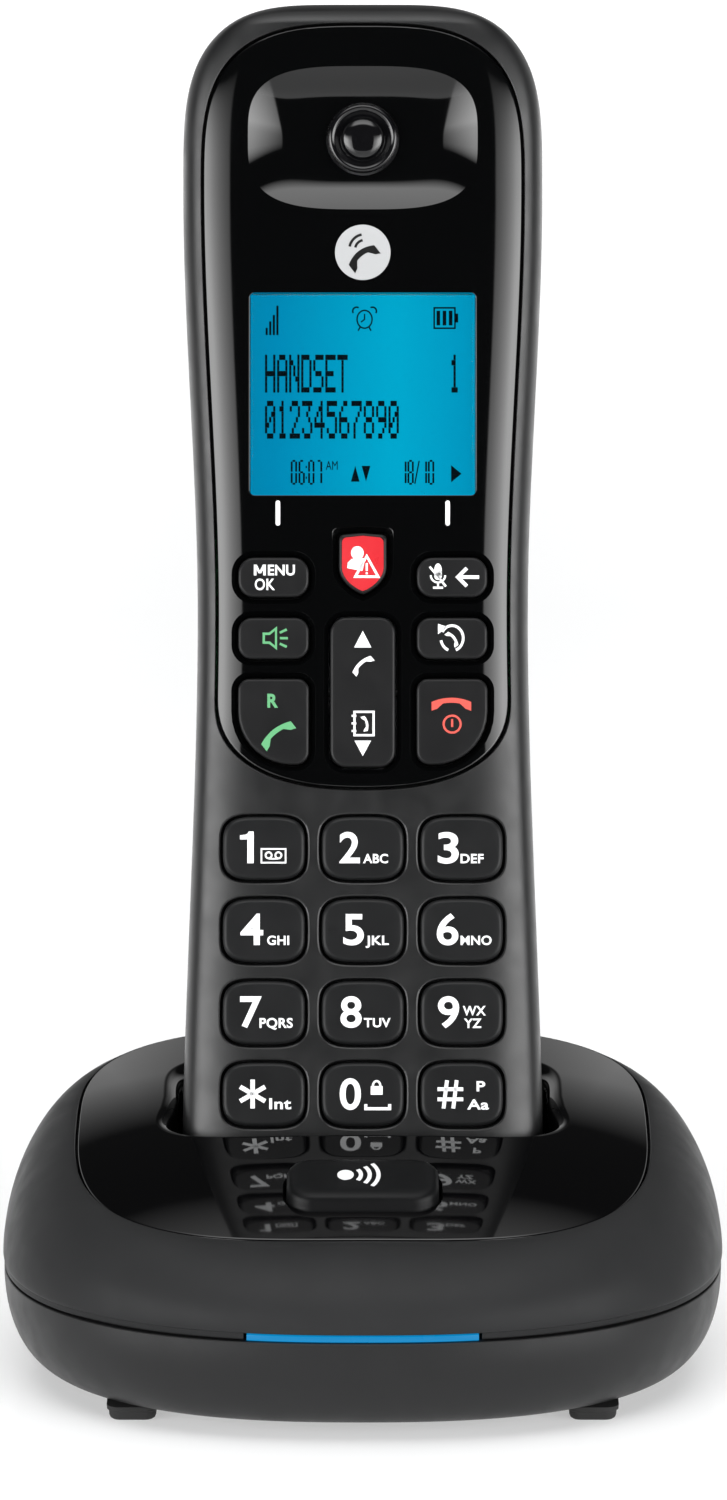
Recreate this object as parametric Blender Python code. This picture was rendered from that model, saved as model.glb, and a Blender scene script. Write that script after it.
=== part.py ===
"""Cordless telephone handset docked in its desk charging base."""

import math

import bmesh
import bpy
from mathutils import Matrix, Vector

MM = 0.001
GAP = 0.3

# Charging base: rounded-square dish, 100 mm across, on four rubber feet.
BASE_HALF = 49.9
BASE_WIDEST = 50.05
BASE_PLAN_POWER = 2.45
RIM_HALF_X = 40.1
RIM_HALF_Y = 40.5
RIM_SHIFT_Y = 1.5
RIM_PLAN_POWER = 2.95
EDGE_POWER = 1.85
BOTTOM_HALF = 42.8
BOTTOM_Z = 2.3
BOTTOM_SHELL_TOP = 14.9
TOP_SHELL_BASE = 15.2
WIDEST_Z = 16.5
CROWN_Z = 35.8
CROWN_TILT = 0.148
CROWN_CURVE_Y = 0.0024
CROWN_CURVE_X = 0.0012
SHELL_WALL = 2.0
TOP_WALL = 3.9
BASE_SIDES = 40

# Gloss cradle panel set into the top shell.
PANEL_HALF_X = 39.6
PANEL_HALF_Y = 40.1
PANEL_PLAN_POWER = 3.15
PANEL_THICK = 1.6
PANEL_LEDGE = 2.6
WELL_WALL = 1.7
WELL_FLOOR_W = -0.3

# Handset: length axis w runs up the lean, depth t runs from the face to the back.
LEAN = math.radians(14.0)
HANDSET_ORIGIN = Vector((0.0, -8.79, 23.75)) * MM
LENGTH = 168.6
WAIST_HALF = 23.1
END_HALF = 25.2
WAIST_W = 82.0
WAIST_UP = 60.0
TOP_ARC = 24.5
TOP_ARC_POWER = 3.3
THICK_MID = 25.8
THICK_TOP = 22.0
PARTING = 12.0
FRONT_POWER = 5.5
BACK_POWER = 3.2
CASE_SIDE_WALL = 2.0
CASE_FRONT_WALL = 3.2
CASE_BACK_WALL = 2.0
HANDSET_SIDES = 36

# Gloss fascia inlaid in the front case.
FASCIA_TOP_W = 164.3
FASCIA_BOTTOM_W = 57.8
FASCIA_THICK = 1.5
RECESS_HALF = (16.1, 10.1)
RECESS_W = 148.5
LENS_SIZE = (30.9, 27.7)
LENS_W = 112.7

# Keys.
NUMBER_KEY = (11.4, 8.8)
NUMBER_PITCH = 13.7
NUMBER_ROWS = (49.4, 38.0, 26.6, 15.3)
NUMBER_NAMES = (
    ("key_1", "key_2", "key_3"),
    ("key_4", "key_5", "key_6"),
    ("key_7", "key_8", "key_9"),
    ("key_star", "key_0", "key_hash"),
)
SIDE_KEY_X = 12.4
SHIELD_HALF = (3.45, 4.3)
FLANGE = 0.7
FLANGE_TOP = CASE_FRONT_WALL + GAP
FLANGE_THICK = 0.8
KEY_PROUD = 0.6

# Locate button on the base panel.
LOCATE_HALF = (10.4, 5.2)
LOCATE_Y = -26.2

# Battery door in the back case.
DOOR_W = (36.0, 96.0)
DOOR_HALF = 17.5
DOOR_THICK = 1.5

PARTS = None
CUTTERS = None


def clear_scene():
    for obj in list(bpy.data.objects):
        bpy.data.objects.remove(obj, do_unlink=True)


def new_collection(name):
    made = bpy.data.collections.new(name)
    bpy.context.scene.collection.children.link(made)
    return made


def material(name, colour, roughness, metallic=0.0):
    made = bpy.data.materials.new(name)
    made.use_nodes = True
    shader = made.node_tree.nodes["Principled BSDF"]
    shader.inputs["Base Color"].default_value = (*colour, 1.0)
    shader.inputs["Roughness"].default_value = roughness
    shader.inputs["Metallic"].default_value = metallic
    return made


def add_object(name, mesh_maker, place=None, finish=None, cutter=False):
    """A closed mesh object, drawn in millimetres in its own axes."""
    solid = bmesh.new()
    mesh_maker(solid)
    bmesh.ops.recalc_face_normals(solid, faces=solid.faces[:])
    bmesh.ops.scale(solid, vec=(MM, MM, MM), verts=solid.verts[:])
    mesh = bpy.data.meshes.new(name)
    solid.to_mesh(mesh)
    solid.free()
    obj = bpy.data.objects.new(name, mesh)
    if place is not None:
        obj.matrix_world = place
    if cutter:
        CUTTERS.objects.link(obj)
        obj.hide_render = True
        obj.display_type = "WIRE"
    else:
        PARTS.objects.link(obj)
        mesh.materials.append(finish)
    return obj


def loft(solid, rings):
    """Skin equal rings of points and cap both ends."""
    rows = []
    for ring in rings:
        rows.append([solid.verts.new(point) for point in ring])
    count = len(rows[0])
    for low, high in zip(rows, rows[1:]):
        for i in range(count):
            j = (i + 1) % count
            solid.faces.new((low[i], low[j], high[j], high[i]))
    solid.faces.new(rows[0])
    solid.faces.new(rows[-1])


def loft_object(name, rings, place=None, finish=None, cutter=False):
    return add_object(name, lambda s: loft(s, rings), place, finish, cutter)


def block(solid, low, high):
    middle = [(a + b) / 2 for a, b in zip(low, high)]
    size = [b - a for a, b in zip(low, high)]
    matrix = Matrix.Translation(middle) @ Matrix.Diagonal((*size, 1.0))
    bmesh.ops.create_cube(solid, size=1.0, matrix=matrix)


def block_object(name, low, high, place=None, finish=None, cutter=False):
    return add_object(name, lambda s: block(s, low, high), place, finish, cutter)


def rod(solid, start, end, radius, radius_end=None, sides=20):
    """A round bar from start to end."""
    start = Vector(start)
    end = Vector(end)
    run = end - start
    turn = run.to_track_quat("Z", "Y").to_matrix().to_4x4()
    bmesh.ops.create_cone(
        solid,
        cap_ends=True,
        segments=sides,
        radius1=radius,
        radius2=radius if radius_end is None else radius_end,
        depth=run.length,
        matrix=Matrix.Translation((start + end) / 2) @ turn,
    )


def rod_object(name, start, end, radius, place=None, finish=None, cutter=False, sides=20):
    return add_object(
        name, lambda s: rod(s, start, end, radius, sides=sides), place, finish, cutter
    )


def boolean(obj, other, operation):
    step = obj.modifiers.new(operation.lower() + "_" + other.name, "BOOLEAN")
    step.operation = operation
    step.solver = "EXACT"
    step.object = other


def cut(obj, *cutters):
    for other in cutters:
        boolean(obj, other, "DIFFERENCE")


def keep(obj, *cutters):
    for other in cutters:
        boolean(obj, other, "INTERSECT")


def join(obj, *others):
    for other in others:
        boolean(obj, other, "UNION")


def superellipse(half_x, half_y, power, count, half_y_low=None, power_low=None):
    """Points anticlockwise from +X; the lower half may have its own depth and power."""
    points = []
    for i in range(count):
        angle = 2 * math.pi * i / count
        c = math.cos(angle)
        s = math.sin(angle)
        low = s < 0 and power_low is not None
        p = power_low if low else power
        depth = half_y_low if low else half_y
        x = half_x * math.copysign(abs(c) ** (2 / p), c)
        y = depth * math.copysign(abs(s) ** (2 / p), s)
        points.append((x, y))
    return points


def rounded(width, height, radii, grow=0.0, per_corner=5):
    """Rounded rectangle; radii run from the upper right corner anticlockwise."""
    half_x = width / 2 + grow
    half_y = height / 2 + grow
    points = []
    corners = ((1, 1, 0), (-1, 1, 90), (-1, -1, 180), (1, -1, 270))
    for (sx, sy, start), radius in zip(corners, radii):
        r = max(radius + grow, 0.2)
        for i in range(per_corner):
            angle = math.radians(start + 90 * i / (per_corner - 1))
            x = sx * (half_x - r) + r * math.cos(angle)
            y = sy * (half_y - r) + r * math.sin(angle)
            points.append((x, y))
    return points


def smoothstep(x):
    x = min(max(x, 0.0), 1.0)
    return x * x * (3 - 2 * x)


def arc_fraction(distance, reach, power):
    """How far a rounded end has opened out at a distance from its tip."""
    if distance >= reach:
        return 1.0
    x = (reach - max(distance, 0.0)) / reach
    return (1 - x**power) ** (1 / power)


# ---------------------------------------------------------------- base shapes


def crown(x, y):
    """Height of the base's top surface."""
    height = CROWN_Z + CROWN_TILT * y - CROWN_CURVE_Y * y * y
    return height - CROWN_CURVE_X * x * x - 1.2 * (x / 39.3) ** 4


def top_rings(side, sink, start_z):
    """Upper dish, drawn in by side and lowered by sink."""
    seam = superellipse(BASE_HALF - side, BASE_HALF - side, BASE_PLAN_POWER, BASE_SIDES)
    wide = superellipse(BASE_WIDEST - side, BASE_WIDEST - side, BASE_PLAN_POWER, BASE_SIDES)
    rim = superellipse(
        RIM_HALF_X - side * 0.4, RIM_HALF_Y - side * 0.4, RIM_PLAN_POWER, BASE_SIDES
    )
    rings = [[(x, y, start_z) for x, y in seam]]
    steps = 8
    for k in range(steps + 1):
        angle = math.pi / 2 * k / steps
        out = max(math.cos(angle), 0.0) ** (2 / EDGE_POWER)
        up = math.sin(angle) ** (2 / EDGE_POWER)
        ring = []
        for (xr, yr), (xw, yw) in zip(rim, wide):
            yr += RIM_SHIFT_Y
            x = xr + (xw - xr) * out
            y = yr + (yw - yr) * out
            top = crown(xr, yr) - 0.2 - sink
            ring.append((x, y, WIDEST_Z + (top - WIDEST_Z) * up))
        rings.append(ring)
    for share in (0.8, 0.5, 0.2):
        ring = []
        for xr, yr in rim:
            x = xr * share
            y = yr * share + RIM_SHIFT_Y
            ring.append((x, y, crown(x, y) - sink))
        rings.append(ring)
    return rings


def bottom_rings(side, floor_z, top_z):
    """Lower dish, drawn in by side."""
    rings = []
    steps = 6
    for k in range(steps + 1):
        angle = math.pi / 2 * k / steps
        out = math.sin(angle) ** (2 / 2.1)
        up = 1 - max(math.cos(angle), 0.0) ** (2 / 2.1)
        half = BOTTOM_HALF - side + (BASE_HALF - BOTTOM_HALF) * out
        z = floor_z + (BOTTOM_SHELL_TOP - 0.6 - floor_z) * up
        ring = superellipse(half, half, BASE_PLAN_POWER, BASE_SIDES)
        rings.append([(x, y, z) for x, y in ring])
    rings.append([(x, y, top_z) for x, y, _ in rings[-1]])
    return rings


def panel_outline(grow):
    ring = superellipse(PANEL_HALF_X + grow, PANEL_HALF_Y + grow, PANEL_PLAN_POWER, BASE_SIDES)
    return [(x, y + RIM_SHIFT_Y) for x, y in ring]


def prism_rings(outline, low, high):
    return [[(x, y, low) for x, y in outline], [(x, y, high) for x, y in outline]]


def lean_matrix():
    return Matrix.Translation(HANDSET_ORIGIN) @ Matrix.Rotation(-LEAN, 4, "X")


def well_rings(grow, levels):
    """Cup around the handset's foot; levels give (w, clearance)."""
    rings = []
    for w, clearance in levels:
        extra = clearance + grow
        middle = THICK_MID / 2
        ring = superellipse(END_HALF + extra, middle + extra, 5.0, BASE_SIDES)
        rings.append([(x, y + middle, w) for x, y in ring])
    return rings


WELL_LEVELS = ((WELL_FLOOR_W, 0.5), (3.0, 0.8), (7.0, 1.4), (11.0, 2.1), (30.0, 2.1))


def make_cutter_set(lean):
    """Shared cutters of the base."""
    made = {}
    made["crown_low"] = loft_object("cut_crown_low", top_rings(0.0, PANEL_THICK, 4.0), cutter=True)
    made["crown_seat"] = loft_object(
        "cut_crown_seat", top_rings(0.0, PANEL_THICK + GAP, 4.0), cutter=True
    )
    made["well"] = loft_object("cut_well", well_rings(0.0, WELL_LEVELS), lean, cutter=True)
    made["well_hole"] = loft_object(
        "cut_well_hole",
        well_rings(WELL_WALL + GAP, ((-2.6, 0.5), (7.0, 1.4), (30.0, 4.4))),
        lean,
        cutter=True,
    )
    return made


def make_top_shell(finish, made):
    shell = loft_object("base_top_shell", top_rings(0.0, 0.0, TOP_SHELL_BASE), finish=finish)
    hollow = loft_object("cut_top_hollow", top_rings(SHELL_WALL, TOP_WALL, 4.0), cutter=True)
    seat = loft_object("cut_panel_seat", prism_rings(panel_outline(GAP), 5.0, 60.0), cutter=True)
    cut(seat, made["crown_seat"])
    opening = loft_object(
        "cut_panel_opening", prism_rings(panel_outline(-PANEL_LEDGE), 5.0, 60.0), cutter=True
    )
    band = loft_object("cut_band", top_rings(-0.5, 0.0, TOP_SHELL_BASE - 0.6), cutter=True)
    band_core = loft_object("cut_band_core", top_rings(0.6, 0.0, 4.0), cutter=True)
    band_reach = block_object(
        "cut_band_reach", (-41.0, -60.0, 14.0), (41.0, -20.0, 16.0), cutter=True
    )
    cut(band, band_core)
    keep(band, band_reach)
    slot = block_object("cut_strip_slot", (-16.0, -60.0, 14.0), (16.0, -44.0, 16.3), cutter=True)
    bosses = add_object("cut_top_bosses", top_boss_solid, cutter=True)
    boss_trim = loft_object("cut_boss_trim", top_rings(1.0, BOSS_DEPTH, 5.0), cutter=True)
    keep(bosses, boss_trim)
    pilots = add_object("cut_pilots", pilot_solid, cutter=True)
    cut(shell, hollow, seat, opening)
    join(shell, bosses)
    cut(shell, band, slot, pilots, rear_pocket())
    return shell


BOSS_X = 37.2
BOSS_Y = 3.0
BOSS_DEPTH = 2.7


def top_boss_solid(solid):
    for side in (-1, 1):
        rod(solid, (side * BOSS_X, BOSS_Y, 10.0), (side * BOSS_X, BOSS_Y, 34.0), 3.6)


def pilot_solid(solid):
    for side in (-1, 1):
        rod(solid, (side * BOSS_X, BOSS_Y, 5.0), (side * BOSS_X, BOSS_Y, 20.0), 1.7)


def bottom_boss_solid(solid):
    for side in (-1, 1):
        rod(solid, (side * BOSS_X, BOSS_Y, 3.0), (side * BOSS_X, BOSS_Y, 9.7), 4.4)


def bottom_bore_solid(solid):
    for side in (-1, 1):
        rod(solid, (side * BOSS_X, BOSS_Y, 4.0), (side * BOSS_X, BOSS_Y, 12.0), 1.7)


def counterbore_solid(solid):
    for side in (-1, 1):
        rod(solid, (side * BOSS_X, BOSS_Y, 0.0), (side * BOSS_X, BOSS_Y, 5.6), 3.1)


PCB_POSTS = ((-24.0, -30.0), (24.0, -30.0), (-24.0, 24.0), (24.0, 24.0))


def post_solid(solid):
    for x, y in PCB_POSTS:
        rod(solid, (x, y, 3.0), (x, y, 6.7), 2.6, sides=14)


JACKS = {"line_jack": (-9.0, 13.4), "power_jack": (9.0, 11.4)}
JACK_FACE_Y = 45.4
JACK_Z = (4.6, 13.0)


def rear_pocket_solid(solid):
    for x, width in JACKS.values():
        half = width / 2 + 0.5
        block(solid, (x - half, 32.0, 3.9), (x + half, 56.0, JACK_Z[1] + GAP))


def rear_pocket():
    return add_object("cut_rear_pocket", rear_pocket_solid, cutter=True)


def make_bottom_shell(finish):
    shell = loft_object(
        "base_bottom_shell", bottom_rings(0.0, BOTTOM_Z, BOTTOM_SHELL_TOP), finish=finish
    )
    hollow = loft_object("cut_bottom_hollow", bottom_rings(SHELL_WALL, 4.3, 18.0), cutter=True)
    bosses = add_object("cut_bottom_bosses", bottom_boss_solid, cutter=True)
    posts = add_object("cut_pcb_posts", post_solid, cutter=True)
    bores = add_object("cut_bottom_bores", bottom_bore_solid, cutter=True)
    counterbores = add_object("cut_counterbores", counterbore_solid, cutter=True)
    cut(shell, hollow)
    join(shell, bosses, posts)
    cut(shell, bores, counterbores, rear_pocket())
    return shell


def make_panel(finish, lean, made):
    panel = loft_object("cradle_panel", top_rings(0.0, 0.0, TOP_SHELL_BASE), finish=finish)
    outline = loft_object("cut_panel_outline", prism_rings(panel_outline(0.0), 5.0, 60.0), cutter=True)
    cup = loft_object(
        "cut_cup",
        well_rings(WELL_WALL, ((-2.2, 0.5), (7.0, 1.4), (11.0, 2.3), (14.0, 2.8), (30.0, 4.4))),
        lean,
        cutter=True,
    )
    under = loft_object("cut_cup_trim", top_rings(3.0, 0.8, 4.0), cutter=True)
    keep(cup, under)
    button_hole = loft_object(
        "cut_locate_hole", prism_rings(locate_outline(GAP), 10.0, 50.0), cutter=True
    )
    slots = add_object("cut_contact_slots", contact_slot_solid, lean, cutter=True)
    keep(panel, outline)
    cut(panel, made["crown_low"])
    join(panel, cup)
    cut(panel, made["well"], button_hole, slots)
    return panel


def locate_outline(grow):
    ring = rounded(LOCATE_HALF[0] * 2, LOCATE_HALF[1] * 2, (3.6,) * 4, grow, per_corner=6)
    return [(x, y + LOCATE_Y) for x, y in ring]


def locate_rings():
    """Cap with a soft edge, retaining flange and plunger."""
    rings = [[(x * 0.25, LOCATE_Y + (y - LOCATE_Y) * 0.4, 11.9) for x, y in locate_outline(0.0)]]
    rings.append([(x, y, 24.0) for x, y, _ in rings[0]])
    rings.append([(x, y, crown(x, y) - 3.4) for x, y in locate_outline(0.9)])
    rings.append([(x, y, crown(x, y) - 2.3) for x, y in locate_outline(0.9)])
    rings.append([(x, y, crown(x, y) - 2.3) for x, y in locate_outline(0.0)])
    for grow, rise in ((0.0, 1.3), (-0.15, 1.75), (-0.5, 2.0), (-1.0, 2.1)):
        rings.append([(x, y, crown(x, y) + rise) for x, y in locate_outline(grow)])
    return rings


CONTACT_X = 13.0
CONTACT_T = 19.0


def contact_slot_solid(solid):
    for side in (-1, 1):
        x = side * CONTACT_X
        block(solid, (x - 1.6, CONTACT_T - 4.5, -4.0), (x + 1.6, CONTACT_T + 4.5, 1.0))


def spring_contact_rings(x):
    """Bent strip whose crest stands up through the cup floor."""
    rings = []
    count = 12
    for i in range(count + 1):
        share = i / count
        t = CONTACT_T - 3.8 + 7.6 * share
        crest = 0.55 - 4.3 * abs(2 * share - 1) ** 2.2
        rings.append(
            [
                (x - 1.2, t, crest - 0.5),
                (x + 1.2, t, crest - 0.5),
                (x + 1.2, t, crest),
                (x - 1.2, t, crest),
            ]
        )
    return rings


def jack_solid(x, width):
    def make(solid):
        block(solid, (x - width / 2, 33.5, JACK_Z[0]), (x + width / 2, JACK_FACE_Y, JACK_Z[1]))

    return make


def jack_socket(x, width):
    def make(solid):
        half = width / 2 - 1.6
        key = half * 0.45
        outline = ((half, 6.0), (half, 11.8), (-half, 11.8), (-half, 6.0))
        outline += ((-key, 6.0), (-key, 5.3), (key, 5.3), (key, 6.0))
        loft(solid, [[(px + x, y, z) for px, z in outline] for y in (36.5, 50.0)])

    return make


def foot_rings(x, y):
    rings = []
    for grow, z in ((-0.5, 0.0), (0.0, 0.5), (0.0, 1.2), (0.35, 1.3), (0.35, 2.0)):
        ring = rounded(6.4, 6.4, (1.6,) * 4, grow, per_corner=4)
        rings.append([(px + x, py + y, z) for px, py in ring])
    return rings


def screw_solid(x, y, head_z, tip_z, direction):
    """Pan head and shank; direction points from head to tip along z."""

    def make(solid):
        rings = []
        head = ((1.0, 0.0), (2.4, 0.0), (2.7, 0.4), (2.7, 1.4), (1.25, 1.4), (1.25, None), (0.4, None))
        depth = abs(tip_z - head_z)
        for radius, drop in head:
            d = drop if drop is not None else (depth - 1.2 if radius > 1 else depth)
            ring = superellipse(radius, radius, 2.0, 14)
            rings.append([(px + x, py + y, head_z + direction * d) for px, py in ring])
        loft(solid, rings)

    return make


def strip_rings_object(finish):
    """Curved light pipe in the seam at the front."""
    strip = loft_object("light_strip", top_rings(0.25, 0.0, 14.2), finish=finish)
    core = loft_object("cut_strip_core", top_rings(3.2, 0.0, 4.0), cutter=True)
    reach = block_object(
        "cut_strip_reach", (-15.7, -60.0, 15.2), (15.7, -44.3, 15.95), cutter=True
    )
    cut(strip, core)
    keep(strip, reach)
    return strip


# ------------------------------------------------------------- handset shapes


def half_width(w):
    reach = WAIST_UP if w > WAIST_W else WAIST_W
    return WAIST_HALF + (END_HALF - WAIST_HALF) * smoothstep(abs(w - WAIST_W) / reach)


def thickness(w):
    return THICK_MID - (THICK_MID - THICK_TOP) * smoothstep((w - 90.0) / 60.0)


def handset_section(w, side, front, back, end):
    """One cross-section; the four walls draw the outline in for the hollow."""
    from_top = LENGTH - end - w
    from_bottom = w - end
    top_w = arc_fraction(from_top, TOP_ARC - end * 0.5, TOP_ARC_POWER)
    top_f = arc_fraction(from_top, 6.0, 2.4)
    top_b = arc_fraction(from_top, 9.0, 2.2)
    x = (2.5 - min(max(from_bottom, 0.0), 2.5)) / 2.5
    inset = 2.5 * (1 - math.sqrt(1 - x * x))
    half = (half_width(w) - side) * top_w - inset
    ahead = (PARTING - front) * top_f - inset
    behind = (thickness(w) - back - PARTING) * top_b - inset
    return [
        (x, PARTING + y, w)
        for x, y in superellipse(
            max(half, 1.0), max(behind, 1.0), BACK_POWER, HANDSET_SIDES, max(ahead, 1.0), FRONT_POWER
        )
    ]


def handset_rings(side, front, back, end):
    stations = [0.0, 0.7, 2.5, 12.0, 26.0, 40.0, 54.0, 68.0, 82.0, 96.0, 110.0, 124.0]
    stations += [137.6, 147.6, 153.6, 158.6, 162.1, 164.6, 166.4, 167.6, 168.3]
    rings = []
    for w in stations:
        w = end + w * (LENGTH - 2 * end) / LENGTH
        rings.append(handset_section(w, side, front, back, end))
    return rings


def face_prism(name, outline, near, far, lean, cutter=True, finish=None):
    """Prism along the depth direction; outline is in (u, w)."""
    rings = [[(u, t, w) for u, w in outline] for t in (near, far)]
    return loft_object(name, rings, lean, finish, cutter)


def fascia_outline(grow):
    """Round-shouldered top, waisted sides and large lower corners."""
    points = []
    middle_w = 120.0
    count = 18
    right = []
    for i in range(count + 1):
        share = i / count
        w = FASCIA_TOP_W + grow - (FASCIA_TOP_W - FASCIA_BOTTOM_W + 2 * grow) * ease_ends(share)
        right.append((fascia_half(w, grow), w))
    points = right + [(-u, w) for u, w in reversed(right)]
    return [(u, w) for u, w in points if abs(u) > 0.01 or w < middle_w or w > middle_w]


def ease_ends(share):
    """Spacing that gathers points at both ends."""
    return 0.5 - 0.5 * math.cos(math.pi * share)


def fascia_half(w, grow):
    top = arc_fraction(FASCIA_TOP_W + grow - w, 22.0, 3.1)
    bottom = arc_fraction(w - FASCIA_BOTTOM_W + grow, 13.0, 2.4)
    side = half_width(w) - 2.95
    return max((side + grow) * min(top, 1.0) * min(bottom, 1.0), 6.0)


def number_outline(grow):
    return superellipse(NUMBER_KEY[0] / 2 + grow, NUMBER_KEY[1] / 2 + grow, 3.6, 20)


def plain_outline(width, height, radii):
    return lambda grow: rounded(width, height, radii, grow)


def shield_outline(grow):
    """Straight-sided shield that comes to a blunt point below."""
    half = SHIELD_HALF[0] + grow
    top = SHIELD_HALF[1] + grow
    right = []
    count = 10
    for i in range(count + 1):
        share = i / count
        w = top - 2 * top * share
        shoulder = arc_fraction(2 * top * share, 1.5, 2.0)
        taper = (1 - max(share - 0.3, 0.0) ** 2.1 * 2.12) * (1 - 0.04 * share)
        right.append((max(half * shoulder * taper, 0.5 + grow * 0.4), w))
    right[0] = (half * 0.72, top)
    return right + [(-u, w) for u, w in reversed(right)]


def function_keys():
    """Name, centre u and w, outline."""
    talk = (1.6, 1.6, 7.4, 1.8)
    end = (1.6, 1.6, 1.8, 7.4)
    return (
        ("key_call_block", 0.0, 88.9, shield_outline),
        ("key_menu_ok", -SIDE_KEY_X, 87.1, plain_outline(9.8, 5.5, (2.2, 2.2, 2.2, 2.2))),
        ("key_mute_back", SIDE_KEY_X, 87.1, plain_outline(9.8, 5.5, (2.2, 2.2, 2.2, 2.2))),
        ("key_speaker", -SIDE_KEY_X, 78.6, plain_outline(9.8, 5.7, (1.9, 1.9, 1.9, 1.9))),
        ("key_redial", SIDE_KEY_X, 78.6, plain_outline(9.8, 5.7, (1.9, 1.9, 1.9, 1.9))),
        ("key_talk", -SIDE_KEY_X, 67.0, plain_outline(9.85, 11.9, talk)),
        ("key_end", SIDE_KEY_X, 67.0, plain_outline(9.85, 11.9, end)),
    )


ROCKER = ("key_navigator", 0.0, 71.1)
ROCKER_SIZE = (9.0, 20.8)


def rocker_outline(grow):
    return rounded(ROCKER_SIZE[0], ROCKER_SIZE[1], (2.2,) * 4, grow)


def face_depth(u, w):
    """Depth of the front surface behind the flat of the face."""
    x = min(abs(u) / half_width(w), 0.999)
    return PARTING * (1 - (1 - x**FRONT_POWER) ** (1 / FRONT_POWER))


def key_places():
    """Every sprung key: name, u, w, outline, how far its face is sunk, and its slot."""
    places = []
    for row, w in zip(NUMBER_NAMES, NUMBER_ROWS):
        for name, column in zip(row, (-1, 0, 1)):
            u = column * NUMBER_PITCH
            places.append((name, u, w, number_outline, -KEY_PROUD, "number"))
    for name, u, w, outline in function_keys():
        places.append((name, u, w, outline, face_depth(u, w) - 0.35, "function"))
    return places


def make_keys(lean, finishes):
    for name, u, w, outline, top, kind in key_places():
        layers = (
            (outline(FLANGE), FLANGE_TOP + FLANGE_THICK),
            (outline(FLANGE), FLANGE_TOP),
            (outline(0.0), FLANGE_TOP),
            (outline(0.0), top + 0.45),
            (outline(-0.45), top),
        )
        rings = [[(x, t, y) for x, y in ring] for ring, t in layers]
        place = lean @ Matrix.Translation(Vector((u, 0.0, w)) * MM)
        finish = finishes["shield"] if name == "key_call_block" else finishes[kind]
        loft_object(name, rings, place, finish)


ROCKER_AXIS_T = 2.4


def make_rocker(lean, finish):
    name, u, w = ROCKER
    layers = (
        (rocker_outline(-0.4), 4.1),
        (rocker_outline(0.0), 3.7),
        (rocker_outline(0.0), 0.1),
        (rocker_outline(-0.5), -0.35),
    )
    rings = [[(x, t - ROCKER_AXIS_T, y) for x, y in ring] for ring, t in layers]
    place = lean @ Matrix.Translation(Vector((u, ROCKER_AXIS_T, w)) * MM)
    rocker = loft_object(name, rings, place, finish)
    pins = rod_object(
        "cut_rocker_pins", (-5.6, 0, 0), (5.6, 0, 0), 0.55, place, cutter=True, sides=12
    )
    join(rocker, pins)


def key_hole_solid(grow):
    """Openings for the caps."""

    def make(solid):
        for _, u, w, outline, _, _ in key_places():
            loft(solid, [[(x + u, t, y + w) for x, y in outline(grow)] for t in (-4.0, 5.0)])
        loft(solid, [[(x, t, y + ROCKER[2]) for x, y in rocker_outline(grow)] for t in (-4.0, 5.0)])

    return make


def make_front_case(lean, finish, outer_args):
    case = loft_object("handset_front_case", handset_rings(*outer_args), lean, finish)
    hollow = loft_object(
        "cut_front_hollow",
        handset_rings(CASE_SIDE_WALL, CASE_FRONT_WALL, CASE_BACK_WALL, 2.2),
        lean,
        cutter=True,
    )
    front_half = block_object(
        "cut_front_half", (-40, -5, -5), (40, PARTING - GAP / 2, 175), lean, cutter=True
    )
    pocket = face_prism("cut_fascia_pocket", fascia_outline(GAP), -6.0, 6.0, lean)
    seat_depth = FASCIA_THICK + GAP
    cut(pocket, loft_object("cut_fascia_seat", inset_rings(seat_depth), lean, cutter=True))
    holes = add_object("cut_case_keys", key_hole_solid(GAP), lean, cutter=True)
    windows = add_object("cut_case_windows", case_window_solid, lean, cutter=True)
    posts = add_object("cut_case_posts", case_post_solid, lean, cutter=True)
    pilots = add_object("cut_case_pilots", case_pilot_solid, lean, cutter=True)
    flanges = block_object(
        "cut_flange_room", (-20.7, CASE_FRONT_WALL, 9.0), (20.7, 6.4, 95.5), lean, cutter=True
    )
    keep(case, front_half)
    cut(case, hollow, flanges, pocket)
    join(case, posts)
    cut(case, holes, windows, pilots)
    return case


LCD_SIZE = (32.0, 28.8)
SCREW_U = 16.5
SCREW_W = 151.0
MIC_W = 7.7


def case_window_solid(solid):
    loft(
        solid,
        [
            [(x, t, y + LENS_W) for x, y in rounded(LCD_SIZE[0] + 0.6, LCD_SIZE[1] + 0.6, (1.0,) * 4)]
            for t in (0.5, 5.0)
        ],
    )
    rod(solid, (0, -2, RECESS_W), (0, 5, RECESS_W), 5.4)
    block(solid, (-5.2 - 1.4, ROCKER_AXIS_T - 0.85, ROCKER[2] - 0.85), (6.6, 5.0, ROCKER[2] + 0.85))
    rod(solid, (0.0, -2.0, MIC_W), (0.0, 5.0, MIC_W), 0.8, sides=12)


def case_post_solid(solid):
    for side in (-1, 1):
        rod(solid, (side * SCREW_U, 2.9, SCREW_W), (side * SCREW_U, 11.8, SCREW_W), 2.9)


def case_pilot_solid(solid):
    for side in (-1, 1):
        rod(solid, (side * SCREW_U, 4.4, SCREW_W), (side * SCREW_U, 14.0, SCREW_W), 1.6)


def inset_rings(depth):
    """Handset outline drawn in by one depth all round."""
    return handset_rings(depth, depth, depth, depth)


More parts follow.
